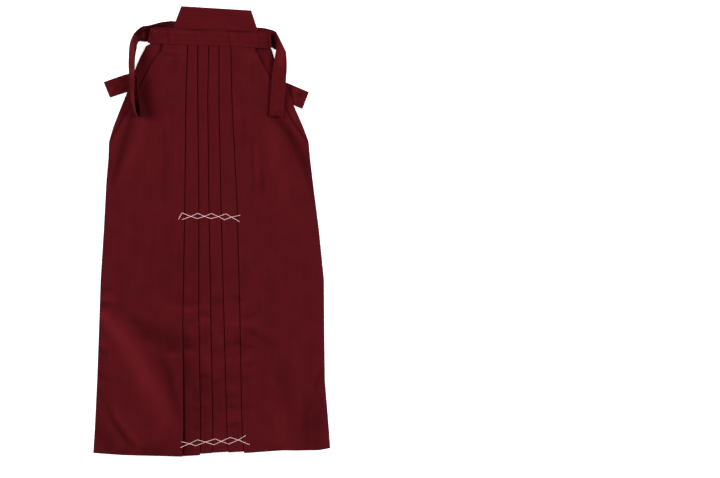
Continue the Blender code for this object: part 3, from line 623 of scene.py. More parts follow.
def panelGrid(columns, heightAt, midAt, flip):
    xs = np.stack([column[0] for column in columns], 1)
    levels = np.stack([column[1] for column in columns], 1)
    leaves = np.array([column[2] for column in columns])[None, :]
    press = np.broadcast_to(np.array([column[3] for column in columns])[None, :], xs.shape).copy()
    ys = heightAt(xs, leaves)
    grid = np.stack((xs, ys, midAt(xs, ys, levels)), 2)
    if flip:
        return grid[:, ::-1], press[:, ::-1]
    return grid, press


def frontPanel(half, name, material):
    nominal = np.linspace(hem, frontTop, int((frontTop - hem) / cloth["rowStep"]) + 1)
    columns, outer = frontSection(half, nominal)

    def heightAt(xs, leaves):
        return frontHeight(xs, nominal[:, None], leafRise[half][leaves])

    def midAt(xs, ys, levels):
        return frontMid(xs, ys, levels, np.abs(xs - outer[:, None]))
    grid, press = panelGrid(columns, heightAt, midAt, half == "left")
    fromHem = (nominal - hem)[:, None] + 0 * grid[..., 0]
    fromSide = np.abs(grid[..., 0] - outer[:, None])
    slitHem = hemBand(fromSide) * softStep((grid[..., 1] - slitBottom) / 6) * 0.8
    thick = cloth["half"] + np.maximum(hemBand(fromHem), slitHem)
    # the creases' painted light and shade break at the pleats: each leaf has its own shift and strength
    leafOf = np.array([column[2] for column in columns])[::-1 if half == "left" else 1]
    shift = np.array(lay["leafShift"][half])[leafOf]
    uneven = 1 + 0.4 * (leafOf > 0) * np.sin(grid[..., 0] / 5.3 + 2.3 * leafOf + grid[..., 1] / 43)
    tone = frontRelief.at(grid[..., 0], grid[..., 1] + shift, "tone") * uneven
    alongSlit = softStep((grid[..., 1] - slitBottom) / 12)      # a painted highlight a little in from the edge, and painted shade at the edge
    tone = tone + alongSlit * (0.14 * np.exp(-((fromSide - 7) / 4) ** 2) - 0.40 * np.exp(-(fromSide / 2.2) ** 2))
    tone = tone + paintedLightAndShade(grid, lay["paintedShades"])
    if half == "right":
        # the painted shadow of the fold that stands up
        beside = grid[..., 0] - softRow(pleatLines, 1, nominal, 22)[:, None]
        stands = softStep((-176 - nominal) / 90)[:, None]
        tone = tone - lay["standPaintedShadow"] * stands * np.exp(-np.maximum(beside, 0) / 13) * (beside > 0)
    return clothShell(name, grid, thick, cloth["half"], flatPlaces(grid), press, material, tone=tone)


def backPanel(half, name, material):
    nominal = np.linspace(hem, backTop, int((backTop - hem) / cloth["rowStep"]) + 1)
    column = 1 if half == "right" else 2
    side = softRow(sideSeams, column, nominal, 4)
    side = softRow(sideSeams, column, backHeight(side, nominal), 4)
    columns, add = sectionColumns(nominal)
    edge, depth = backFold["edge"], backFold["depth"]
    if half == "right":
        flatEnd = edge - backFold["climb"] - 2
        addRun(add, np.linspace(0, 1, 72), side, flatEnd, 0, 0)
        for share in (0.2, 0.4, 0.6, 0.8, 1):
            add(flatEnd + (edge - 1.5 - flatEnd) * share, 2 * softStep(share), 0)
        addRun(add, (0.25, 0.5, 0.75, 1), edge - 1.5, edge + depth, 2, 0)
    else:
        addRun(add, np.linspace(0, 1, 70), side, edge + depth, 0, 0)
        addRun(add, (0.3, 0.6, 0.85), edge + depth, edge + 1.05, 0, 0)
        turned = []
        addTurn(lambda *column: turned.append(column), edge, -1, 1, 0, 0)
        for column in reversed(turned):
            add(*column)
        addRun(add, (0.3, 0.6, 1), edge + 1.05, edge + depth - 1, 1, 0)
    grid, press = panelGrid(columns, lambda xs, leaves: backHeight(xs, nominal[:, None]), backMid,
                            half == "left")
    fromHem = (nominal - hem)[:, None] + 0 * grid[..., 0]
    thick = cloth["half"] + hemBand(fromHem)
    lower = np.minimum(thick, grid[..., 2] - 0.02)
    # the back's creases get their painted light and shade too, a little stronger
    tone = backRelief.at(grid[..., 0], grid[..., 1], "tone") * 1.3
    # the strip of the back that shows beyond the slits gets painted light low down and painted shade beside them,
    # with deeper painted shade on the left half near its seam and the waist
    beyond = np.abs(grid[..., 0]) - np.abs(frontSide(1 if half == "right" else 2, grid[..., 1]))
    besideSlit = softStep((grid[..., 1] - slitBottom) / 12) * (beyond > 0)
    lit = 0.22 * softStep(beyond / 5) * softStep((250 - grid[..., 1]) / 24)
    if half == "left":
        fromSeam = np.abs(grid[:, -1:, 0] - grid[..., 0])
        shade = 0.26 + 0.36 * np.exp(-(fromSeam / 4) ** 2) + 0.2 * softStep((grid[..., 1] - 340) / 16)
        tone = tone - shade * softStep((grid[..., 1] - 300) / 30) * (beyond > 0)
    tone = tone + besideSlit * (lit - 0.34 * np.exp(-np.maximum(beyond, 0) / 2.6))
    return clothShell(name, grid, cloth["half"], lower, flatPlaces(grid), press, material, tone=tone)


# the front waistband, folded over the tops of the front panels
band = {
    "columns": 118, "frontRows": 22, "inset": 4.5, "bulge": 0.8, "turn": range(20, 161, 20),
    "marks": ((-81, 1.6, 0.5), (-72, 3, -0.25), (36, 1.8, 0.45), (45, 3.5, -0.2),
              (93, 1.6, 0.5), (101, 3, -0.2)),      # x, half width, depth of the pressed marks
    "seamHeight": 3.6, "seamDepth": 0.22, "seamWidth": 0.8,
    "uprights": (                    # painted light and shade: x, reach, amount
        (-81, 1.5, -0.50), (-72, 4, 0.10), (-27, 1.3, -0.22), (-7, 1.3, -0.14), (36, 1.4, -0.45),
        (45, 4, 0.12), (93, 1.4, -0.40), (-15, 1.2, -0.16), (-112, 2, -0.25)),
    "levels": (                      # the same along the band: height on it, reach, amount
        (10.5, 1, -0.20), (13.5, 1.8, 0.16), (18, 1, -0.16), (24, 2.5, 0.12), (29.2, 1.8, -0.72)),
    # painted light and shade in patches: x, y, reach across, reach along, amount
    "patches": ((-98, 376, 13, 9, -0.22), (-92, 366, 8, 4, 0.12), (-58, 382, 16, 6, 0.14),
                (104, 366, 7, 14, -0.26), (84, 362, 12, 5, -0.10), (4, 372, 22, 5, 0.08),
                (111.5, 366, 3.4, 22, -0.85), (106, 352, 6, 6, -0.20)),
}


def bandFront(x):
    # the band's front lies higher over the panels, and most over the pleats
    overPleats = softStep((x + 92) / 24) * softStep((86 - x) / 24)
    overPanels = softStep((x + 113) / 20) * softStep((110 - x) / 20)
    side = heights["bandEnd"] + (heights["bandSide"] - heights["bandEnd"]) * overPanels
    return side + (heights["bandFront"] - side) * overPleats


def bandGrid():
    # up the front, over the top edge and down the back
    sections = [("front", share) for share in np.linspace(0, 1, band["frontRows"])]
    sections += [("fold", angle) for angle in band["turn"]]
    sections += [("back", share) for share in (1, 0.75, 0.5, 0.25)]
    share = np.linspace(0, 1, band["columns"])
    back = heights["bandBack"]
    rows = []
    for part, value in sections:
        up = 1 if part == "fold" else value
        left = bandCorners["lowLeft"][0] + (bandCorners["topLeft"][0] - bandCorners["lowLeft"][0]) * up
        right = bandCorners["lowRight"][0] + (bandCorners["topRight"][0] - bandCorners["lowRight"][0]) * up
        left, right = left + band["inset"], right - band["inset"]
        x = left + (right - left) * share
        low = lineHeight(bandCorners["lowLeft"], bandCorners["lowRight"], x)
        top = lineHeight(bandCorners["topLeft"], bandCorners["topRight"], x)
        front = bandFront(x)
        radius = (front - back) / 2
        shoulder = top - 0.5 - radius * band["bulge"]
        if part == "fold":
            angle = math.radians(value)
            y = shoulder + radius * band["bulge"] * math.sin(angle)
            z = back + radius + radius * math.cos(angle)
        else:
            y = low + (shoulder - low) * value
            z = front + 0 * x if part == "front" else back + 0 * x
            if part == "front":
                z = z + 0.18 * np.sin(x / 21 + 1) * math.sin(math.pi * value) + 0.25 * math.sin(math.pi * value)
                for place, width, depth in band["marks"]:
                    z = z - depth * np.exp(-((x - place) / width) ** 2) * softStep((value + 0.1) / 0.2)
        rows.append(np.stack((x, y, z), 1))
    return np.array(rows)


def makeBand(material):
    grid = bandGrid()
    fromLow = grid[..., 1] - lineHeight(bandCorners["lowLeft"], bandCorners["lowRight"], grid[..., 0])
    groove = band["seamDepth"] * np.exp(-((fromLow - band["seamHeight"]) / band["seamWidth"]) ** 2)
    press = np.zeros(grid.shape[:2])
    press[0] = 1
    folded = 0.4 + 0.6 * np.sin(np.radians(band["turn"]))
    press[band["frontRows"]:band["frontRows"] + len(folded)] = folded[:, None]
    upper = cloth["half"] + 0.05 - groove
    # the band's painted light and shade
    tone = np.zeros_like(fromLow)
    for x, reach, amount in band["uprights"]:
        tone += amount * np.exp(-((grid[..., 0] - x + 0.16 * fromLow) / reach) ** 2)
    for up, reach, amount in band["levels"]:
        broken = 0.6 + 0.4 * np.sin(grid[..., 0] / 13 + up)
        tone += amount * broken * np.exp(-((fromLow - up) / reach) ** 2)
    tone += paintedLightAndShade(grid, band["patches"])
    return clothShell("front_band", grid, upper, cloth["half"], flatPlaces(grid)[..., [1, 0, 2]], press,
                      material, tone=tone)


# the stiff board at the back of the waist
board = {
    "corners": ((-82, 368), (96.5, 360), (75.4, 423.7), (-57.9, 431.8)),
    "width": 155, "height": 62, "round": 1.9, "across": 60, "up": 30, "bow": 0.35, "hemLine": 4,
}


def eased(count, ease):
    # shares from 0 to 1, closer together near both ends
    share = np.linspace(0, 1, count)
    return share - ease * np.sin(2 * math.pi * share)


def makeBoard(material):
    u, v = np.meshgrid(eased(board["across"], 0.13), eased(board["up"], 0.13))
    c = np.array(board["corners"])
    flat = ((c[0] * (1 - u[..., None]) + c[1] * u[..., None]) * (1 - v[..., None])
            + (c[3] * (1 - u[..., None]) + c[2] * u[..., None]) * v[..., None])
    edge = np.minimum(np.minimum(u, 1 - u) * board["width"], np.minimum(v, 1 - v) * board["height"])
    body = (heights["boardTop"] - heights["boardLow"]) / 2
    rounded = np.sqrt(1 - (1 - np.clip(edge / board["round"], 0, 1)) ** 2 * 0.97)
    thick = body * (0.3 + 0.7 * rounded)
    middle = (heights["boardTop"] + heights["boardLow"]) / 2
    grid = np.dstack((flat, np.full(u.shape, middle)))
    groove = 0.16 * np.exp(-(((1 - v) * board["height"] - board["hemLine"]) / 0.8) ** 2)
    bow = board["bow"] * np.sin(math.pi * u) * np.sin(math.pi * v)
    press = np.clip(1 - edge / 2.5, 0, 1)
    return clothShell("waist_board", grid, thick - groove + bow, thick, flatPlaces(grid)[..., [1, 0, 2]], press,
                      material, 0.8)


# the ties, as strips through stations
tie = {"width": 29, "across": 13, "step": 2.6, "half": 0.42, "seamIn": 2.4, "seamDepth": 0.14}


def turnedOver(x, y, tilt, top, bottom, facing, moveX=0, moveY=0):
    # stations round the end of a strip that turns from one height to another; the second
    # layer lies moveX and moveY away from the first
    radius = abs(top - bottom) / 2
    dx, dy = math.cos(math.radians(tilt)) * facing, math.sin(math.radians(tilt)) * facing
    stations = []
    for angle in np.linspace(0, math.pi, 9):
        reach = radius * math.sin(angle) - radius - tie["half"]
        z = (top + bottom) / 2 + (top - bottom) / 2 * math.cos(angle)
        share = min(max(2 * angle / math.pi - 0.5, 0), 1)
        stations.append((x + dx * reach + moveX * share, y + dy * reach + moveY * share, z, tilt))
    return stations


def stationEdges(stations):
    # the two edges of a strip from stations on its middle: x, y, height and tilt on the plan
    edges = []
    for x, y, z, tilt in stations:
        dx = -math.sin(math.radians(tilt)) * tie["width"] / 2
        dy = math.cos(math.radians(tilt)) * tie["width"] / 2
        edges.append((x - dx, y - dy, z, x + dx, y + dy, z))
    return edges


# levels of the layers under the garment
first, second, third = [heights[layer] for layer in ("first", "second", "third")]


def frontTieLeft():
    # round the band's end, across under the back, out past the other side and back
    stations = turnedOver(114.2, 366.8, 4.7, heights["bandEnd"], second, 1)
    stations += [(98, 361.5, second, 11), (62, 350.8, second, 16), (40, 344.6, first, 16.5),
                 (0, 332.5, first, 17.5), (-60, 313.5, first, 18), (-120, 298, first, 18),
                 (-160, 288, first, 20)]
    stations += turnedOver(-202.3, 273.5, 22, first, second, -1, 1.4, -3.5)
    stations += [(-160, 283, second, 19), (-103, 292, second, 13), (0, 307.5, second, 9),
                 (88, 321.5, second, 9)]
    return stationEdges(stations)


def frontTieRight():
    # the same the other way, over the first one
    stations = turnedOver(-120, 376.6, -13.3, heights["bandEnd"], second, -1)
    stations += [(-106, 367, second, -17), (-76, 354.6, second, -21), (-54, 346, third, -21),
                 (20, 318, third, -21), (92, 290.5, third, -21), (122, 279, first, -21),
                 (150, 267.5, first, -21)]
    stations += turnedOver(181.4, 254.2, -20.8, first, second, 1, -2.2, -5.9)
    stations += [(150, 261.8, second, -21), (124, 273.8, second, -21)]
    return stationEdges(stations)


def topSurface(x, y):
    # the upper side of the panels at a place
    onFront = (frontSide(1, y) <= x) & (x <= frontSide(2, y))
    return np.where(onFront, frontMid(x, y), backMid(x, y)) + cloth["half"]


def highestNear(x, y, halfX, halfY):
    # the highest point of the panels in a small field
    xs, ys = np.meshgrid(x + halfX * np.linspace(-1, 1, 7), y + halfY * np.linspace(-1, 1, 5))
    return float(np.max(topSurface(xs, ys)))


def endTurn(y, outerX, innerX, low, facing, slant=2):
    # edges round a strip's end, from one layer down to the next
    turn = []
    for angle in np.linspace(0, math.pi, 7):
        dy = facing * cloth["pitch"] / 2 * math.sin(angle)
        z = low + cloth["pitch"] / 2 + cloth["pitch"] / 2 * math.cos(angle)
        turn.append((outerX, y - slant + dy, z, innerX, y + slant + dy, z))
    return turn


def backTieLeft():
    # from the board round the side edge and up over the slit, then folded in three on the
    # front; rows are x, y, z of one edge, then of the other
    rest = {y: highestNear(126, y, 17, 7) + 0.9 for y in (225, 240, 270, 300)}
    pitch = cloth["pitch"]
    edges = [(88.6, 365, first, 84.6, 392, first), (108, 358.5, first, 101, 390.6, first),
             (122, 349, 1, 112, 388, 0.9), (136.5, 347, 2.6, 120.5, 385, 3),
             (142.4, 345, 6, 125, 380.5, 7), (143.2, 340, 9.5, 125.5, 373, 11),
             (144.2, 328, 11, 124, 352, 12.2),
             (144.2, 310, rest[300] + 2 * pitch + 0.6, 119, 320, rest[300] + 2 * pitch + 0.8)]
    # the folded part, from its top layer down
    for layer, ys in ((2, (300, 270, 240)), (1, (240, 270, 300)), (0, (300, 270, 240))):
        for y in ys:
            z = rest[y] + layer * pitch
            edges.append((136.6 + (y - 221) * 0.084, y - 2, z, 111 + (y - 221) * 0.064, y + 2, z))
        if layer == 2:
            edges += endTurn(220, 136.5, 110.9, rest[225] + pitch, -1, 2.7)
        if layer == 1:
            edges += endTurn(308, 143.8, 116.6, rest[300], 1)
    edges.append((137, 222, rest[225], 111.6, 226.5, rest[225]))
    return edges


def backTieRight():
    # from the board round the side, where it comes to stand on its edge, and folded back
    edges = [(-82.6, 374, first, -76, 404.6, first), (-103, 368, first, -97, 402, first),
             (-124, 364.5, 0.6, -120, 396, 0.55), (-133.5, 364.5, 6.2, -134, 393.5, 0.9),
             (-137.5, 364.5, 14, -146, 384, 1.2), (-141, 360.5, 20.5, -153.5, 372, 1.8),
             (-143.4, 348, 24.5, -158, 357, 2.6)]
    plies = ((334, -145.4, -159.4, 23.5), (318, -146.2, -159.8, 24.5), (298, -146.4, -158.6, 25.5),
             (270, -147.4, -156.8, 25.5), (256, -146.6, -155.4, 25.5), (240, -145.2, -152, 25.5),
             (228, -143.2, -148.5, 25.5), (221, -139.6, -143, 25.5), (220, -136.4, -139.4, 25.5),
             (226, -134.6, -137.4, 25.5), (240, -135.6, -138.8, 25), (268, -139, -143.2, 24.5),
             (298, -142, -146.8, 24))
    for y, topX, footX, height in plies:
        foot = 0.5 + (3.6 if y > 312 else highestNear(footX, y, 6, 6))
        edges.append((topX, y, foot + height, footX, y, foot))
    return edges


def baseEdges():
    # the strip across the outside of the board
    low, high = ((-82.2, 373.7), (88.2, 365.1)), ((-75.7, 404), (84.2, 392))
    edges = []
    for share in np.linspace(0, 1, 9):
        edge = []
        for start, end in (low, high):
            x = start[0] + (end[0] - start[0]) * share
            edge += [x, lineHeight(start, end, x), first]
        edges.append(edge)
    return edges


tieShades = {      # soft patches of painted shade and light: x, y, reach across, reach along, amount
    "back_tie_right": (
        (-128, 386, 10, 8, -0.42), (-140, 379, 7, 9, -0.50), (-124, 374, 7, 9, -0.36), (-134, 368, 8, 4, -0.40),
        (-100, 402, 26, 2.4, -0.40), (-96, 395, 18, 3, -0.44), (-112, 391, 12, 2.2, -0.30),
        (-153, 360, 4, 12, 0.24), (-151, 346, 5, 10, 0.20), (-144.5, 354, 1.4, 12, -0.5),
        (-131, 378, 1.4, 9, 0.30), (-137, 372, 1.4, 7, 0.16), (-104, 394, 20, 3, -0.34), (-82, 400, 10, 4, -0.26),
        (-116, 388, 3, 4, -0.40), (-150, 306, 4, 7, 0.14), (-151.5, 282, 4, 10, -0.20)),
    "back_tie_left": (
        (117, 372, 6, 9, -0.30), (116, 359, 6, 9, -0.36), (108, 390, 16, 3.5, -0.50), (136, 357, 5, 12, 0.24),
        (137, 338, 7, 13, 0.32), (127, 362, 3, 14, -0.18), (131, 326, 9, 8, 0.20), (120, 330, 3, 10, -0.10),
        (131, 346, 2, 8, 0.14), (140, 332, 1.6, 9, -0.18), (126, 262, 5, 4, 0.12), (122, 240, 8, 3, 0.14),
        (128, 228, 8, 2.4, -0.14), (118, 252, 3, 12, -0.08), (124, 220, 16, 3.4, -0.34)),
    "front_tie_right": (
        (158, 272, 5, 8, 0.14), (152, 264, 4, 8, -0.22), (168, 262, 6, 5, -0.14), (150, 274, 4, 6, -0.18),
        (166, 271, 5, 3, 0.16), (177, 250, 5, 5, 0.12), (160, 256, 3, 4, 0.12)),
    "front_tie_left": (
        (-172, 280, 5, 7, 0.14), (-184, 276, 4, 6, -0.16), (-193, 270, 5, 7, 0.16), (-164, 274, 4, 6, -0.20),
        (-178, 268, 6, 3, 0.18), (-200, 276, 3, 6, -0.12), (-160, 286, 3, 4, 0.24), (-162, 267, 5, 2.4, 0.30),
        (-154, 280, 4, 9, -0.24), (-196, 262, 4, 3, 0.18)),
}


def makeTie(name, edges, material):
    # a strip from its two edges, softly rounded along both, with its seam near the far one
    run = throughPoints(edges, tie["step"])
    share = eased(tie["across"], 0.12)
    near, far = run[:, None, :3], run[:, None, 3:]
    grid = near + (far - near) * share[None, :, None]
    rounded = np.sqrt(1 - np.abs(2 * share - 1) ** 14 * 0.85)
    width = np.linalg.norm(far - near, axis=2)
    groove = tie["seamDepth"] * np.exp(-(((1 - share)[None, :] * width - tie["seamIn"]) / 0.7) ** 2)
    half = tie["half"] * rounded[None, :] + 0 * width
    press = np.clip(np.abs(2 * share - 1) * 8 - 7, 0, 1)[None, :] + 0 * width
    grid[..., 2] = np.maximum(grid[..., 2], tie["half"] + 0.04)
    lower = np.minimum(half - groove, grid[..., 2] - 0.03)
    return clothShell(name, grid, half - groove, lower, flatPlaces(grid), press, material, 0.6,
                      paintedLightAndShade(grid, tieShades.get(name, ())))


# materials
def newGroup(name, inputs, output):
    group = bpy.data.node_groups.new(name, "ShaderNodeTree")
    for label, value in inputs.items():
        kind = "NodeSocketVector" if isinstance(value, tuple) else "NodeSocketFloat"
        group.interface.new_socket(label, in_out="INPUT", socket_type=kind).default_value = value
    group.interface.new_socket(output, in_out="OUTPUT", socket_type="NodeSocketFloat")
    return group, group.nodes.new("NodeGroupInput").outputs, group.nodes.new("NodeGroupOutput").inputs[output]


def feed(tree, sockets, values):
    # sets or links sockets by name; a value is a number, a colour or another node's socket
    for label, value in values.items():
        if isinstance(value, bpy.types.NodeSocket):
            tree.links.new(value, sockets[label])
        else:
            sockets[label].default_value = value


def sums(tree, operation, *values):
    # one Math node
    node = tree.nodes.new("ShaderNodeMath")
    node.operation = operation
    feed(tree, node.inputs, dict(enumerate(values)))
    return node.outputs[0]


def twillGroup():
    # slanted lines over fine ribs
    group, given, height = newGroup("twill weave", {"Place": (0, 0, 0), "Thread Width": 0.4}, "Height")
    parts = group.nodes.new("ShaderNodeSeparateXYZ")
    group.links.new(given["Place"], parts.inputs[0])
    warp, weft = [sums(group, "DIVIDE", parts.outputs[axis], given["Thread Width"]) for axis in "XY"]
    slant = sums(group, "MULTIPLY", sums(group, "ADD", warp, weft), math.pi / 2)
    line = sums(group, "MULTIPLY_ADD", sums(group, "SINE", slant), 0.5, 0.5)
    rib = sums(group, "MULTIPLY_ADD", sums(group, "COSINE", sums(group, "MULTIPLY", warp, 2 * math.pi)), 0.5, 0.5)
    group.links.new(sums(group, "MULTIPLY_ADD", rib, 0.35, sums(group, "MULTIPLY", line, 0.65)), height)
    return group


def noiseGroup(name, output, detail):
    # soft noise over the cloth, with its own size across and along
    group, given, result = newGroup(name, {"Place": (0, 0, 0), "Size Across": 10, "Size Along": 10}, output)
    parts = group.nodes.new("ShaderNodeSeparateXYZ")
    joined = group.nodes.new("ShaderNodeCombineXYZ")
    noise = group.nodes.new("ShaderNodeTexNoise")
    feed(group, parts.inputs, {"Vector": given["Place"]})
    feed(group, joined.inputs, {
        "X": sums(group, "DIVIDE", parts.outputs["X"], given["Size Across"]),
        "Y": sums(group, "DIVIDE", parts.outputs["Y"], given["Size Along"])})
    feed(group, noise.inputs, {"Vector": joined.outputs[0], "Scale": 1, "Detail": detail})
    group.links.new(noise.outputs["Fac"], result)
    return group


def edgeHighlightGroup():
    # 1 along pressed folds and turned edges, broken up a little by the streaks; the material paints these lighter,
    # a painted highlight
    group, given, edge = newGroup("painted edge highlight", {"Press": 0, "Streak": 0.5, "Sharpness": 2}, "Edge")
    sharp = sums(group, "POWER", given["Press"], given["Sharpness"])
    group.links.new(sums(group, "MULTIPLY", sharp, sums(group, "MULTIPLY_ADD", given["Streak"], 0.8, 0.6)), edge)
    return group


groups = {
    "twill": twillGroup(), "press": edgeHighlightGroup(),
    "slub": noiseGroup("slub streaks", "Streak", 3), "mottle": noiseGroup("dye mottle", "Tone", 4)}


def placeGroup(tree, key, values):
    node = tree.nodes.new("ShaderNodeGroup")
    node.node_tree = groups[key]
    feed(tree, node.inputs, values)
    return node.outputs[0]


def clothMaterial(name, look):
    material = bpy.data.materials.new(name)
    material.use_nodes = True
    tree = material.node_tree
    shader = tree.nodes["Principled BSDF"]
    read = {}
    for label in ("clothPlace", "foldPress", "paintedCreaseShading"):
        read[label] = tree.nodes.new("ShaderNodeAttribute")
        read[label].attribute_name = label
    place = read["clothPlace"].outputs["Vector"]
    twill = placeGroup(tree, "twill", {"Place": place, "Thread Width": look["thread"]})
    slub = placeGroup(tree, "slub", {
        "Place": place, "Size Across": look["slubAcross"], "Size Along": look["slubAlong"]})
    mottle = placeGroup(tree, "mottle", {
        "Place": place, "Size Across": look["mottle"], "Size Along": look["mottle"] * 1.6})
    edge = placeGroup(tree, "press", {"Press": read["foldPress"].outputs["Fac"], "Streak": slub, "Sharpness": 2})
    # the first three have their middle at a half
    tone = 0.5 - 0.5 * (look["mottleShare"] + look["slubShare"] + look["twillShare"])
    # the creases' painted light and shade and the painted highlight of pressed edges join the dye mottle, slubs
    # and twill
    for source, share in ((mottle, "mottleShare"), (slub, "slubShare"), (twill, "twillShare"),
                          (edge, "edgeHighlightShare"), (read["paintedCreaseShading"].outputs["Fac"], "paintedCreaseShare")):
        tone = sums(tree, "MULTIPLY_ADD", source, look[share], tone)
    blend = tree.nodes.new("ShaderNodeMix")
    blend.data_type = "RGBA"
    blend.clamp_factor = True
    feed(tree, blend.inputs, {"Factor": tone, "A": (*look["dark"], 1), "B": (*look["light"], 1)})
    bump = tree.nodes.new("ShaderNodeBump")
    feed(tree, bump.inputs, {
        "Strength": look["bump"], "Distance": 0.0002, "Height": sums(tree, "MULTIPLY_ADD", slub, 0.7, twill)})
    feed(tree, shader.inputs, {
        "Base Color": blend.outputs["Result"], "Normal": bump.outputs["Normal"],
        "Roughness": sums(tree, "MULTIPLY_ADD", slub, 0.2, look["roughness"] - 0.1),
        "Specular IOR Level": look["specular"], "Specular Tint": (1, 0.55, 0.55, 1)})
    return material


panelLook = {
    "dark": (0.0390, 0.0024, 0.0038), "light": (0.1085, 0.0079, 0.0115), "thread": 0.42,
    "slubAcross": 3.4, "slubAlong": 130, "mottle": 26, "mottleShare": 0.50, "slubShare": 0.26,
    "twillShare": 0.08, "edgeHighlightShare": 0.17, "paintedCreaseShare": 0.82, "roughness": 0.85, "bump": 0.35, "specular": 0.04}
bandLook = dict(panelLook, dark=(0.0418, 0.0025, 0.0040), light=(0.1082, 0.0071, 0.0108), slubShare=0.42)
# the ties' colour reaches darker, for their deep painted shade
tieLook = dict(panelLook, dark=(0.0180, 0.0011, 0.0018), light=(0.1280, 0.0086, 0.0120), edgeHighlightShare=0.20, mottle=9,
               mottleShare=0.42, slubShare=0.14, twillShare=0.05, paintedCreaseShare=1)
threadLook = dict(panelLook, dark=(0.84, 0.50, 0.52), light=(0.99, 0.68, 0.69), thread=0.3, mottle=9,
                  slubAcross=0.4, slubAlong=3, bump=0.3, specular=0.3)
sewingLook = dict(panelLook, dark=(0.060, 0.0050, 0.0072), light=(0.120, 0.011, 0.0150), mottle=5, slubAcross=0.3,
                  slubAlong=2)
panelCloth = clothMaterial("panel cloth", panelLook)
bandCloth = clothMaterial("band cloth", bandLook)
tieCloth = clothMaterial("tie cloth", tieLook)
bastingThread = clothMaterial("basting thread", threadLook)
sewingThread = clothMaterial("sewing thread", sewingLook)
print("cloth materials made")

# the cloth pieces, from the lowest up
backRight = backPanel("right", "back_panel_right", panelCloth)
backLeft = backPanel("left", "back_panel_left", panelCloth)
frontRight = frontPanel("right", "front_panel_right", panelCloth)
frontLeft = frontPanel("left", "front_panel_left", panelCloth)
print("panels laid")
frontBand = makeBand(bandCloth)
makeBoard(bandCloth)
print("band and board made")
for name, edges in (("front_tie_left", frontTieLeft()), ("front_tie_right", frontTieRight()),
                    ("back_tie_base", baseEdges()), ("back_tie_left", backTieLeft()),
                    ("back_tie_right", backTieRight())):
    makeTie(name, edges, tieCloth)
print("ties folded")


# basting threads, tacked through the front pleats and the back's centre fold
basting = {
    "radius": 0.53, "twist": 3.4, "sides": 8, "step": 1.1,
    "front": (
        ((-63.6, 23), (-57.1, 35.7), (-39.5, 28.8), (-27.2, 24.6), (-13.5, 29), (-0.3, 34.6), (13, 28.6),
         (24.5, 22.5), (38.3, 27.5), (54.8, 31.3)),
        ((-57.5, 22.5), (-39.5, 28.8), (-27.2, 34.9), (-13.5, 29), (-1.1, 24.6), (13, 28.6), (27.6, 34),
         (38.3, 27.5), (53.7, 18.6)),
        ((-58.1, -403.2), (-42.7, -407), (-30, -410.9), (-11.8, -403.8), (7.2, -397.8), (18.5, -402.4),
         (33.3, -407.8), (51, -399.9), (65.4, -391.3)),
        ((-59.8, -414.5), (-42.7, -407), (-27, -399.6), (-11.8, -403.8), (4.1, -409), (18.5, -402.4),
         (35.6, -394.9), (51, -399.9), (66.3, -406.3), (72.9, -409))),
    "back": (
        ((-8, 252.5), (-5.4, 273.6), (-4.2, 202.6), (-7.1, 181.4), (-2.3, 139.2), (-2.3, 118.1), (-9.2, 91.2),
         (-7.1, 79.7), (2.9, 60.5), (5.6, 49), (0, 37.4), (-9.2, 27.8), (-8.4, 17.3)),
        ((-2.9, 4.8), (1.3, -29.8), (1, -131.5), (2.9, -194.9), (3.6, -252.5), (1.9, -289), (5.2, -321.6),
         (0, -358.1), (-5, -390.7)),
        ((-1.9, -398.4), (4.2, -409))),
}


def surfaceTrees(*pieces):
    bpy.context.view_layer.update()
    return [BVHTree.FromObject(piece, bpy.context.evaluated_depsgraph_get()) for piece in pieces]


def heightOn(trees, x, y, fromAbove=True):
    # where a line straight down, or up, first meets the pieces
    facing = 1 if fromAbove else -1
    hits = [tree.ray_cast(Vector((x * mm, y * mm, 0.2 * facing)), Vector((0, 0, -facing)))[0] for tree in trees]
    found = [facing * hit.z / mm for hit in hits if hit is not None]
    return facing * max(found) if found else None


def cutRun(points, step):
    # points along straight runs, about a step apart
    run = []
    for (x0, y0), (x1, y1) in zip(points[:-1], points[1:]):
        parts = max(2, math.ceil(math.hypot(x1 - x0, y1 - y0) / step))
        run += [(x0 + (x1 - x0) * k / parts, y0 + (y1 - y0) * k / parts) for k in range(parts)]
    run.append(points[-1])
    return run


def layThread(trees, points, radius, fromAbove=True, tautRounds=30):
    # a thread pulled tight over what lies under it
    run = [(x, y, heightOn(trees, x, y, fromAbove)) for x, y in cutRun(points, basting["step"])]
    run = np.array([place for place in run if place[2] is not None])
    sign = 1 if fromAbove else -1
    rest = run[:, 2] * sign
    taut = rest.copy()
    for _ in range(tautRounds):
        taut[1:-1] = np.maximum(rest[1:-1], (taut[:-2] + taut[2:]) / 2)
    run[:, 2] = (taut + radius * 0.9) * sign
    return run


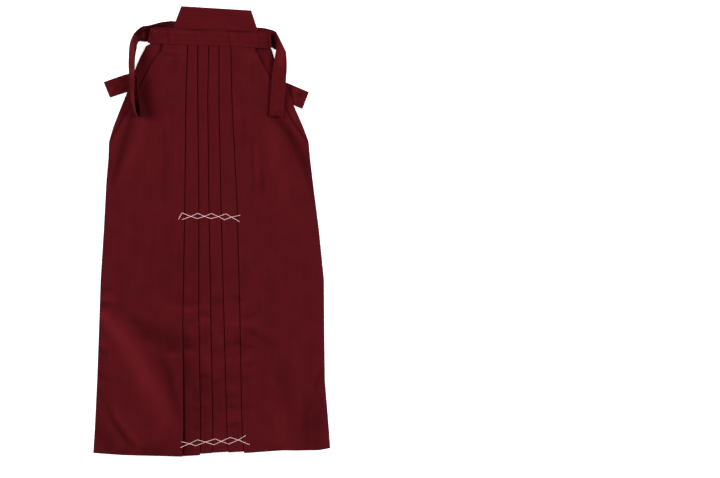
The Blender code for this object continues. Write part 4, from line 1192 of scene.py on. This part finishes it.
def tubeMesh(name, runs, radius, sides, twist, material):
    # a joined mesh of round threads; twist is the length of one turn of its two plies
    points, faces, places = [], [], []
    for run in runs:
        ahead = np.gradient(run, axis=0)
        ahead /= np.maximum(np.linalg.norm(ahead, axis=1, keepdims=True), 1e-9)
        side = np.cross(ahead, (0, 0, 1))
        side /= np.maximum(np.linalg.norm(side, axis=1, keepdims=True), 1e-9)
        up = np.cross(side, ahead)
        length = np.concatenate(([0], np.cumsum(np.linalg.norm(np.diff(run, axis=0), axis=1))))
        base = len(points)
        for i in range(len(run)):
            ends = 0.55 if i in (0, len(run) - 1) else 1
            for k in range(sides):
                angle = 2 * math.pi * k / sides
                ply = 0.78 + 0.22 * abs(math.cos(angle - math.pi * length[i] / twist)) if twist else 1
                spread = side[i] * math.cos(angle) + up[i] * math.sin(angle)
                points.append(run[i] + spread * radius * ply * ends)
                places.append((angle * radius, length[i], 0))
        for i in range(len(run) - 1):
            for k in range(sides):
                a, b = base + i * sides + k, base + i * sides + (k + 1) % sides
                faces.append((a, b, b + sides, a + sides))
        faces.append([base + k for k in range(sides)][::-1])
        faces.append([base + (len(run) - 1) * sides + k for k in range(sides)])
    mesh = bpy.data.meshes.new(name)
    mesh.from_pydata((np.array(points) * mm).tolist(), [], faces)
    markPoints(mesh, places)
    return finishPiece(name, mesh, material)


def layBasting(side, trees, radius, *laid):
    runs = [layThread(trees, points, radius, *laid) for points in basting[side]]
    return tubeMesh(side + "_basting", runs, radius, basting["sides"], basting["twist"],
                    bastingThread)


frontTrees = surfaceTrees(frontRight, frontLeft)
backTrees = surfaceTrees(backRight, backLeft)
frontBasting = layBasting("front", frontTrees, basting["radius"])
backBasting = layBasting("back", backTrees, basting["radius"] * 0.9, False, 4)
print("basting threads laid")

# the sewing along the hem, the slits and the band's lower edge
sewing = {"length": 2.4, "space": 1.2, "radius": 0.2, "sink": 0.05, "hemUp": 8, "slitIn": 8}


def stitchLine(trees, line):
    # short stitches along a run of (x, y) points, each seated on the cloth
    run = np.array(cutRun(line, 1))
    length = np.concatenate(([0], np.cumsum(np.hypot(*np.diff(run, axis=0).T))))
    stitches = []
    for start in np.arange(1, length[-1] - sewing["length"], sewing["length"] + sewing["space"]):
        at = start + np.linspace(0, sewing["length"], 5)
        xs, ys = np.interp(at, length, run[:, 0]), np.interp(at, length, run[:, 1])
        zs = [heightOn(trees, x, y) for x, y in zip(xs, ys)]
        if None in zs or max(zs) - min(zs) > 1.2:
            continue
        dip = np.array((-0.28, 0, 0.07, 0, -0.28))     # its ends go into the cloth
        stitches.append(np.stack((xs, ys, np.array(zs) + sewing["sink"] + dip), 1))
    return stitches


stitches = stitchLine(frontTrees, [(x, float(frontHeight(x, hem)) + sewing["hemUp"])
                                   for x in np.linspace(-222, 222, 150)])
for column, inward in ((1, sewing["slitIn"]), (2, -sewing["slitIn"])):
    stitches += stitchLine(frontTrees, [(float(frontSide(column, y)) + inward, y)
                                        for y in np.linspace(174, 345, 60)])
panelStitches = tubeMesh("panel_stitches", stitches, sewing["radius"], 6, 0, sewingThread)
stitches = stitchLine(surfaceTrees(frontBand), [
    (x, lineHeight(bandCorners["lowLeft"], bandCorners["lowRight"], x) + band["seamHeight"])
    for x in np.linspace(-116, 108, 90)])
bandStitches = tubeMesh("band_stitches", stitches, sewing["radius"], 6, 0, sewingThread)
print("stitches sewn")

# the flat cut of each piece of cloth, as far as it shows
print("cloth and threads made")

# camera, light and floor
studio = {
    "cameraX": 0.2846, "cameraY": -0.0144, "cameraHeight": 7.68, "lens": 200,
    "lampOut": 3.5, "lampUp": 0.6, "lampHigh": 2.9, "lampSize": (2.4, 2),
    "lampPower": {"light left": 184, "light right": 204}, "lightTint": (1, 0.985, 0.97),
    "world": 0.12, "floor": 0.88, "floorGlow": 0.8, "floorReach": 20, "floorLevel": -0.00005,
}
camera = bpy.data.objects.new("camera", bpy.data.cameras.new("camera"))
camera.data.lens = studio["lens"]
camera.data.sensor_width = 36
camera.data.clip_end = 40
camera.location = (studio["cameraX"], studio["cameraY"], studio["cameraHeight"])
bpy.context.scene.collection.objects.link(camera)
bpy.context.scene.camera = camera
for name, side in (("light left", -1), ("light right", 1)):
    light = bpy.data.objects.new(name, bpy.data.lights.new(name, "AREA"))
    light.data.shape = "RECTANGLE"
    light.data.size, light.data.size_y = studio["lampSize"]
    light.data.energy = studio["lampPower"][name]
    light.data.color = studio["lightTint"]
    light.location = (side * studio["lampOut"], studio["lampUp"], studio["lampHigh"])
    light.rotation_euler = (-light.location).to_track_quat("-Z", "Y").to_euler()
    bpy.context.scene.collection.objects.link(light)
world = bpy.data.worlds.new("pale room")
world.use_nodes = True
feed(world.node_tree, world.node_tree.nodes["Background"].inputs, {
    "Color": (1, 1, 1, 1), "Strength": studio["world"]})
bpy.context.scene.world = world
bpy.context.scene.view_settings.view_transform = "Standard"

floorMesh = bpy.data.meshes.new("floor")
floorMesh.from_pydata([(x * studio["floorReach"], y * studio["floorReach"], studio["floorLevel"])
                       for x, y in ((-1, -1), (1, -1), (1, 1), (-1, 1))], [], [(0, 1, 2, 3)])
floor = bpy.data.objects.new("floor", floorMesh)
bpy.context.scene.collection.objects.link(floor)
floorPaper = bpy.data.materials.new("pale floor")
floorPaper.use_nodes = True
feed(floorPaper.node_tree, floorPaper.node_tree.nodes["Principled BSDF"].inputs, {
    "Base Color": (*[studio["floor"]] * 3, 1), "Roughness": 0.9, "Specular IOR Level": 0.1,
    "Emission Color": (1, 1, 1, 1), "Emission Strength": studio["floorGlow"]})
floorMesh.materials.append(floorPaper)
print("stage set")
